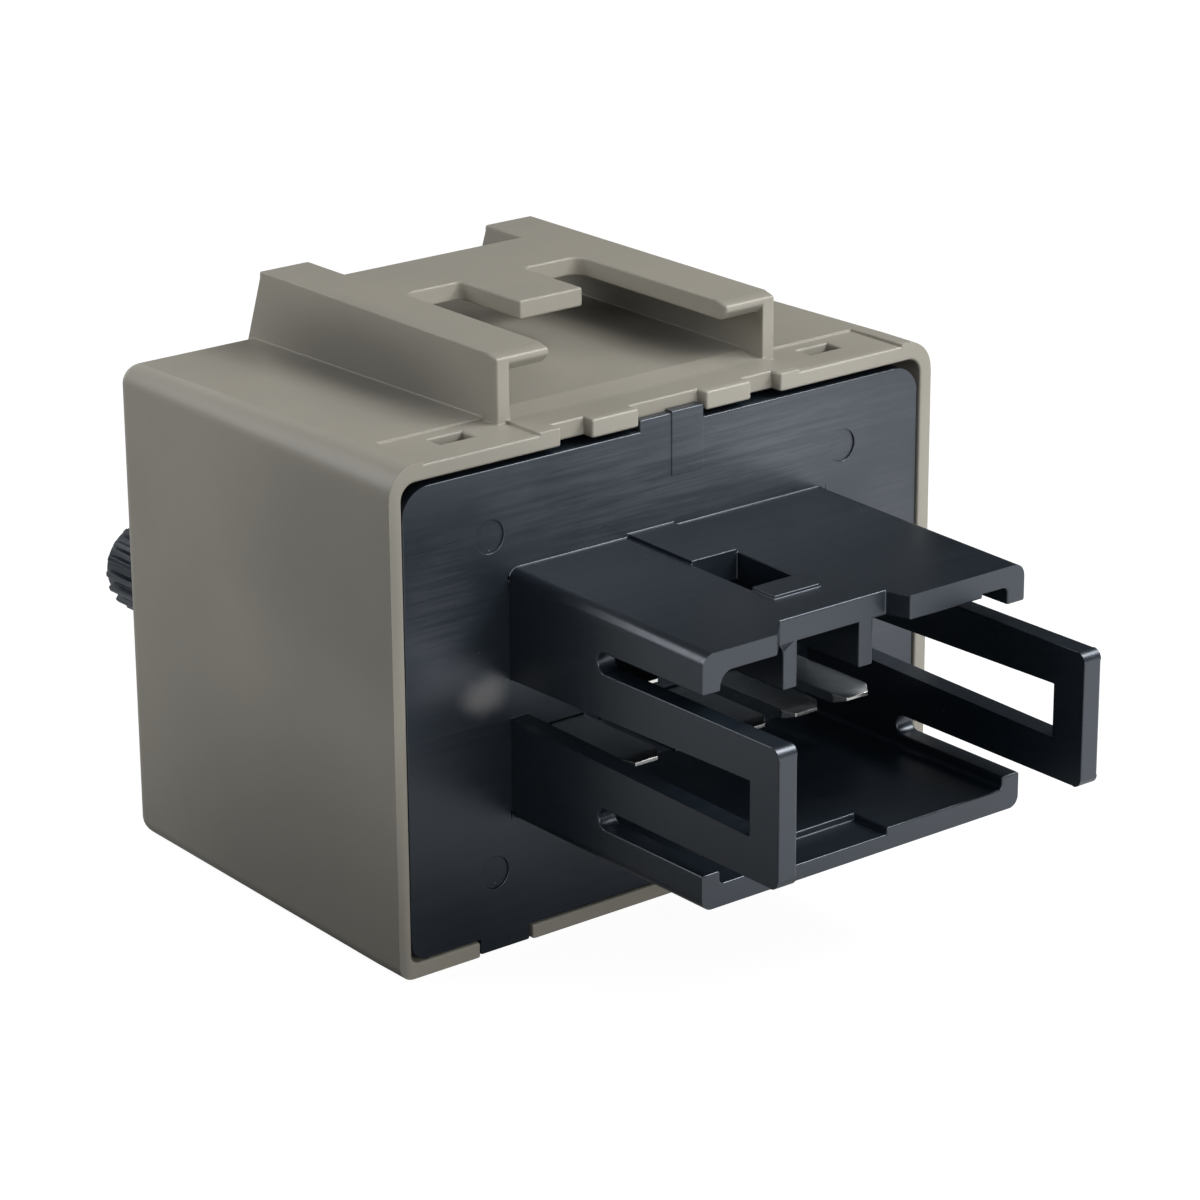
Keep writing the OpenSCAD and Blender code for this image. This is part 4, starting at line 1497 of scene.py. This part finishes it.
@dataclass
class Connector(Placed):
    """The black base plate with its shroud, and the blades.

    Attributes:
        softening: Rounding of the base plate's edges.
        blade_softening: Rounding of a blade's edges.
        blades: Number of blades.
    """

    softening: Softening = Softening(0.13)
    blade_softening: Softening = Softening(0.05, segments=2)
    blades: int = 8

    def build(self) -> None:
        """Makes the softened base plate and blades."""
        piece = self.softening.copy("base_plate", "connector_shroud")
        self.finish_piece(piece, Finish.BLACK, "base_plate")
        for number in range(1, self.blades + 1):
            blade = self.blade_softening.copy(f"terminal_{number}", f"blade_{number}")
            self.finish_piece(blade, Finish.TIN, f"terminal_{number}")


@dataclass
class RateAdjuster(Placed):
    """The ridged knob at the back and the trimmer that it turns.

    Attributes:
        softening: Rounding of the knob's edges.
    """

    softening: Softening = Softening(0.08, segments=2)

    def build(self) -> None:
        """Makes the softened knob and dresses the trimmer."""
        piece = self.softening.copy("adjust_knob", "rate_knob")
        self.finish_piece(piece, Finish.BLACK, "adjust_knob")
        self.dress_nodes(Finish.TRIMMER, ["trimmer_body"])
        self.dress_nodes(Finish.BOBBIN, ["trimmer_rotor"])


@dataclass
class BoardRelay(Placed):
    """One of the two small relays on the board.

    Attributes:
        side: The side that it stands on, as its nodes' names begin.
        wire_mm: Radius of the coil's wire.
    """

    side: str
    wire_mm: float = 0.11

    def node(self, part: str) -> str:
        """Returns the CAD name of one of this relay's parts."""
        return f"{self.side}_relay_{part}"

    def build(self) -> None:
        """Dresses the relay's parts and winds its coil."""
        self.dress_nodes(Finish.RELAY_BASE, [self.node("base")])
        self.dress_nodes(Finish.RELAY_COVER, [self.node("cover")])
        self.dress_nodes(Finish.BOBBIN, [self.node("bobbin")])
        self.dress_nodes(Finish.IRON, [self.node(part) for part in ("core", "yoke", "armature")])
        contacts = ("moving_contact", "closed_contact", "open_contact")
        self.dress_nodes(Finish.CONTACT, [self.node(part) for part in contacts])
        self.dress_nodes(Finish.TIN, [self.node("coil_pins")])
        self.wind_coil()

    def wind_coil(self) -> None:
        """Winds the coil's outer layer as turns of wire."""
        low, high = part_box(self.node("winding"))
        low, high = Vector(low), Vector(high)
        wire = self.wire_mm * MM
        radius = (high.x - low.x) / 2 - wire
        turns = int((high.z - low.z) / (2 * wire))
        holder = add_object(self.side + "_turns", bpy.data.meshes.new(self.side + "_turns"))
        tree = TurnsTree(self.dresser.material(Finish.COPPER))
        tree.apply(holder, Turns=turns, Radius=radius, Wire=wire, Pitch=2 * wire)
        start = Vector(((low.x + high.x) / 2, (low.y + high.y) / 2, low.z + wire))
        piece = bake(holder, self.side + "_coil_wire", Matrix.Translation(start))
        self.finish_piece(piece, Finish.COPPER, self.node("winding"))


class TurnsTree:
    """Geometry nodes that repeat a turn of wire along a coil's axis.

    Attributes:
        INPUTS: Name and socket type of each input.
        RING_FACETS: Facets round a turn.
        WIRE_FACETS: Facets round the wire.
    """

    INPUTS = (
        ("Turns", "NodeSocketInt"),
        ("Radius", FLOAT),
        ("Wire", FLOAT),
        ("Pitch", FLOAT),
    )
    RING_FACETS = 40
    WIRE_FACETS = 8

    def __init__(self, material: bpy.types.Material) -> None:
        """Builds the tree.

        Args:
            material: The material that the turns take.
        """
        self.tree = bpy.data.node_groups.new("coil turns", "GeometryNodeTree")
        sockets = self.tree.interface
        for label, kind in self.INPUTS:
            sockets.new_socket(label, in_out="INPUT", socket_type=kind)
        sockets.new_socket("Geometry", in_out="OUTPUT", socket_type="NodeSocketGeometry")
        graph = Graph(self.tree)
        given = graph.add("NodeGroupInput").outputs
        circle = "GeometryNodeCurvePrimitiveCircle"
        ring = graph.add(circle, {"Resolution": self.RING_FACETS, "Radius": given["Radius"]})
        section = graph.add(circle, {"Resolution": self.WIRE_FACETS, "Radius": given["Wire"]})
        wires = {"Curve": ring.outputs[0], "Profile Curve": section.outputs[0]}
        turn = graph.add("GeometryNodeCurveToMesh", wires)
        step = graph.add("ShaderNodeCombineXYZ", {"Z": given["Pitch"]})
        line = graph.add("GeometryNodeMeshLine", {"Count": given["Turns"], "Offset": step.outputs[0]})
        wires = {"Points": line.outputs[0], "Instance": turn.outputs[0]}
        many = graph.add("GeometryNodeInstanceOnPoints", wires)
        real = graph.add("GeometryNodeRealizeInstances", {0: many.outputs[0]})
        dressed = graph.add("GeometryNodeSetMaterial", {"Geometry": real.outputs[0], "Material": material})
        graph.add("NodeGroupOutput", {0: dressed.outputs[0]})

    def apply(self, holder: bpy.types.Object, **values: float) -> None:
        """Puts the tree on an object as a modifier.

        Args:
            holder: The object, whose own mesh is empty.
            values: Value of each input, by its name.
        """
        modifier = holder.modifiers.new("turns", "NODES")
        modifier.node_group = self.tree
        for item in self.tree.interface.items_tree:
            if item.in_out == "INPUT" and item.name in values:
                modifier[item.identifier] = values[item.name]


@dataclass
class BoardParts(Placed):
    """The circuit board and the small parts on it.

    Attributes:
        finishes: The finish of each node.
    """

    finishes: dict[str, Finish] = field(
        default_factory=lambda: {
            "circuit_board": Finish.BOARD,
            "solder_joints": Finish.SOLDER,
            "capacitor_can": Finish.CAN,
            "capacitor_seal": Finish.SEAL,
            "timer_chip": Finish.EPOXY,
            "transistors": Finish.EPOXY,
            "diodes": Finish.EPOXY,
            "resistors": Finish.RESISTOR,
            "current_shunt": Finish.COPPER,
        }
    )

    def build(self) -> None:
        """Dresses the board and its parts."""
        for node, finish in self.finishes.items():
            self.dress_nodes(finish, [node])


# ---- Studio ----


@dataclass(frozen=True)
class Softbox:
    """A square lamp that looks at the object.

    Attributes:
        name: The lamp's name.
        azimuth: Side that it hangs on, in degrees from the front, towards the right.
        elevation: Height that it hangs at, in degrees.
        distance: Distance from the object, in metres.
        size: Length of its sides, in metres.
        power: Power in watts.
    """

    name: str
    azimuth: float
    elevation: float
    distance: float
    size: float
    power: float

    def hang(self, target: Vector) -> None:
        """Hangs the lamp so that it faces a point.

        Args:
            target: The point.
        """
        lamp = bpy.data.lights.new(self.name, "AREA")
        lamp.shape = "SQUARE"
        lamp.size = self.size
        lamp.energy = self.power
        holder = bpy.data.objects.new(self.name, lamp)
        back = direction(self.azimuth, self.elevation)
        holder.location = target + back * self.distance
        holder.rotation_mode = "QUATERNION"
        holder.rotation_quaternion = (-back).to_track_quat("-Z", "Y")
        bpy.context.scene.collection.objects.link(holder)


def direction(azimuth: float, elevation: float) -> Vector:
    """Returns the unit vector towards a viewer at an azimuth and elevation in degrees."""
    a, e = math.radians(azimuth), math.radians(elevation)
    return Vector((math.sin(a) * math.cos(e), -math.cos(a) * math.cos(e), math.sin(e)))


@dataclass(frozen=True)
class Sheen:
    """How bright the floor shows in the object's shiny faces, which changes from left to right.

    Attributes:
        middle: Brightness under the object.
        left: What is added to that far out on the left.
        right: Brightness far out on the right.
        left_reach: Distance to the left at which it is full, in metres.
        right_reach: Distance to the right at which it is full, in metres.
        way: The way from left to right on the floor.
    """

    middle: float = 0.05
    left: float = 0.30
    right: float = 1.05
    left_reach: float = 0.045
    right_reach: float = 0.065
    way: XYZ = (0.7, -0.7, 0.0)

    def brightness(self, graph: Graph) -> Socket:
        """Works out the brightness at a place on the floor.

        Args:
            graph: The floor material's tree.

        Returns:
            The brightness.
        """
        place = graph.add("ShaderNodeTexCoord").outputs["Object"]
        across = graph.vector("DOT_PRODUCT", place, self.way)
        right = graph.ramp(across, 0.0, self.right_reach, self.middle, self.right)
        left = graph.ramp(across, -self.left_reach, 0.0, self.left, 0.0)
        return graph.math("ADD", right, left)


@dataclass(frozen=True)
class Dome:
    """Light from all round, brighter on one side.

    Attributes:
        fill: Strength on the bright side.
        dim: Strength on the dim side.
        azimuth: Where the bright side is, in degrees.
        elevation: How high it is, in degrees.
        dim_end: Cosine of the angle from the bright side at which the dim strength is reached.
        fill_end: Cosine of the angle from it up to which the full strength holds.
    """

    fill: float = 0.24
    dim: float = 0.045
    azimuth: float = -55.0
    elevation: float = 45.0
    dim_end: float = -0.6
    fill_end: float = 0.95

    def strength(self, graph: Graph) -> Socket:
        """Works out the strength of the light from a direction.

        Args:
            graph: The world's tree.

        Returns:
            The strength.
        """
        way = graph.add("ShaderNodeTexCoord").outputs["Generated"]
        near = graph.vector("DOT_PRODUCT", way, tuple(direction(self.azimuth, self.elevation)))
        return graph.ramp(near, self.dim_end, self.fill_end, self.dim, self.fill)


@dataclass
class Studio:
    """Floor, lamps, world and camera.

    Attributes:
        floor_half: Half the floor's side, in metres.
        floor_gap_mm: Gap between the object and the floor.
        floor_color: The floor's colour.
        floor_glow: How bright the floor looks to the camera.
        sheen: How bright it looks in the object's shiny faces, as a share of that.
        lamps: The lamps.
        dome: The light of the world.
        azimuth: Where the camera stands, in degrees.
        elevation: How high it stands, in degrees.
        roll: How far it is turned on its own axis, in degrees.
        distance: Its distance from the target, in metres.
        target: The point that it looks at.
        sensor_mm: Width of its sensor.
        lens_mm: Its focal length.
        shift: Its sideways and upward shift, as shares of the sensor.
        clip: The nearest and the furthest distance that it sees, in metres.
    """

    floor_half: float = 2.0
    floor_gap_mm: float = 0.02
    floor_color: RGB = (0.16, 0.16, 0.16)
    floor_glow: float = 0.95
    sheen: Sheen = Sheen()
    lamps: tuple[Softbox, ...] = (
        Softbox("key", azimuth=46, elevation=47, distance=0.15, size=0.09, power=0.155),
        Softbox("edge", azimuth=60, elevation=47, distance=0.50, size=0.10, power=0.38),
        Softbox("front", azimuth=-2, elevation=10, distance=0.50, size=0.35, power=1.45),
        Softbox("side", azimuth=-128, elevation=32, distance=0.13, size=0.08, power=0.058),
        Softbox("rear", azimuth=176, elevation=8, distance=0.50, size=0.35, power=0.55),
    )
    dome: Dome = Dome()
    azimuth: float = -38.435
    elevation: float = 19.835
    roll: float = -0.433
    distance: float = 0.25817
    target: XYZ = (-0.00138, -0.00817, 0.0176)
    sensor_mm: float = 36.0
    lens_mm: float = 125.45
    shift: tuple[float, float] = (0.01056, 0.00295)
    clip: tuple[float, float] = (0.01, 20.0)

    def build(self) -> None:
        """Sets up the studio."""
        self.lay_floor()
        self.light_world()
        for lamp in self.lamps:
            lamp.hang(Vector(self.target))
        self.place_camera()
        bpy.context.scene.view_settings.view_transform = "Standard"

    def lay_floor(self) -> None:
        """Lays a pale floor under the object."""
        half = self.floor_half
        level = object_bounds()[0][2] - self.floor_gap_mm * MM
        corners = [(x * half, y * half, level) for x, y in ((-1, -1), (1, -1), (1, 1), (-1, 1))]
        mesh = bpy.data.meshes.new("floor")
        mesh.from_pydata(corners, [], [(0, 1, 2, 3)])
        mesh.materials.append(self.paper())
        floor = add_object("floor", mesh)
        floor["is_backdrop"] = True

    def paper(self) -> bpy.types.Material:
        """Makes the floor's finish, which glows only for the camera and in the object's shiny faces.

        Returns:
            The finish as a material.
        """
        material = bpy.data.materials.new("paper floor")
        material.use_nodes = True
        material.node_tree.nodes.clear()
        graph = Graph(material.node_tree)
        rays = graph.add("ShaderNodeLightPath").outputs
        sheen = graph.math("MULTIPLY", rays["Is Glossy Ray"], self.sheen.brightness(graph))
        seen = graph.math("MAXIMUM", rays["Is Camera Ray"], sheen)
        paper = graph.add("ShaderNodeBsdfDiffuse", {"Color": self.floor_color})
        glow = graph.add("ShaderNodeEmission", {"Strength": graph.math("MULTIPLY", seen, self.floor_glow)})
        both = graph.add("ShaderNodeAddShader", {0: paper.outputs[0], 1: glow.outputs[0]})
        graph.add("ShaderNodeOutputMaterial", {"Surface": both.outputs[0]})
        return material

    def light_world(self) -> None:
        """Lights the world: white to the camera, and a dim dome for everything else."""
        world = bpy.data.worlds.new("studio")
        bpy.context.scene.world = world
        world.use_nodes = True
        world.node_tree.nodes.clear()
        graph = Graph(world.node_tree)
        seen = graph.add("ShaderNodeLightPath").outputs["Is Camera Ray"]
        wires = {0: seen, 2: self.dome.strength(graph), 3: 1.0}
        strength = graph.add("ShaderNodeMix", wires, data_type="FLOAT").outputs[0]
        back = graph.add("ShaderNodeBackground", {"Strength": strength})
        graph.add("ShaderNodeOutputWorld", {"Surface": back.outputs[0]})

    def place_camera(self) -> None:
        """Places the camera."""
        data = bpy.data.cameras.new("camera")
        data.sensor_width = self.sensor_mm
        data.lens = self.lens_mm
        data.shift_x, data.shift_y = self.shift
        camera = bpy.data.objects.new("camera", data)
        back = direction(self.azimuth, self.elevation)
        camera.location = Vector(self.target) + back * self.distance
        aim = (-back).to_track_quat("-Z", "Y")
        camera.rotation_mode = "QUATERNION"
        camera.rotation_quaternion = aim @ Quaternion((0, 0, 1), math.radians(self.roll))
        data.clip_start, data.clip_end = self.clip
        bpy.context.scene.collection.objects.link(camera)
        bpy.context.scene.camera = camera


def main() -> None:
    """Builds every sub-assembly and the studio."""
    logging.basicConfig(level=logging.INFO, format="%(name)s: %(message)s")
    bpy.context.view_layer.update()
    dresser = Dresser()
    Housing(dresser).build()
    Connector(dresser).build()
    RateAdjuster(dresser).build()
    for side in ("left", "right"):
        BoardRelay(dresser, side).build()
    BoardParts(dresser).build()
    Studio().build()
    log.info("sizes written")


if __name__ == "__main__":
    main()
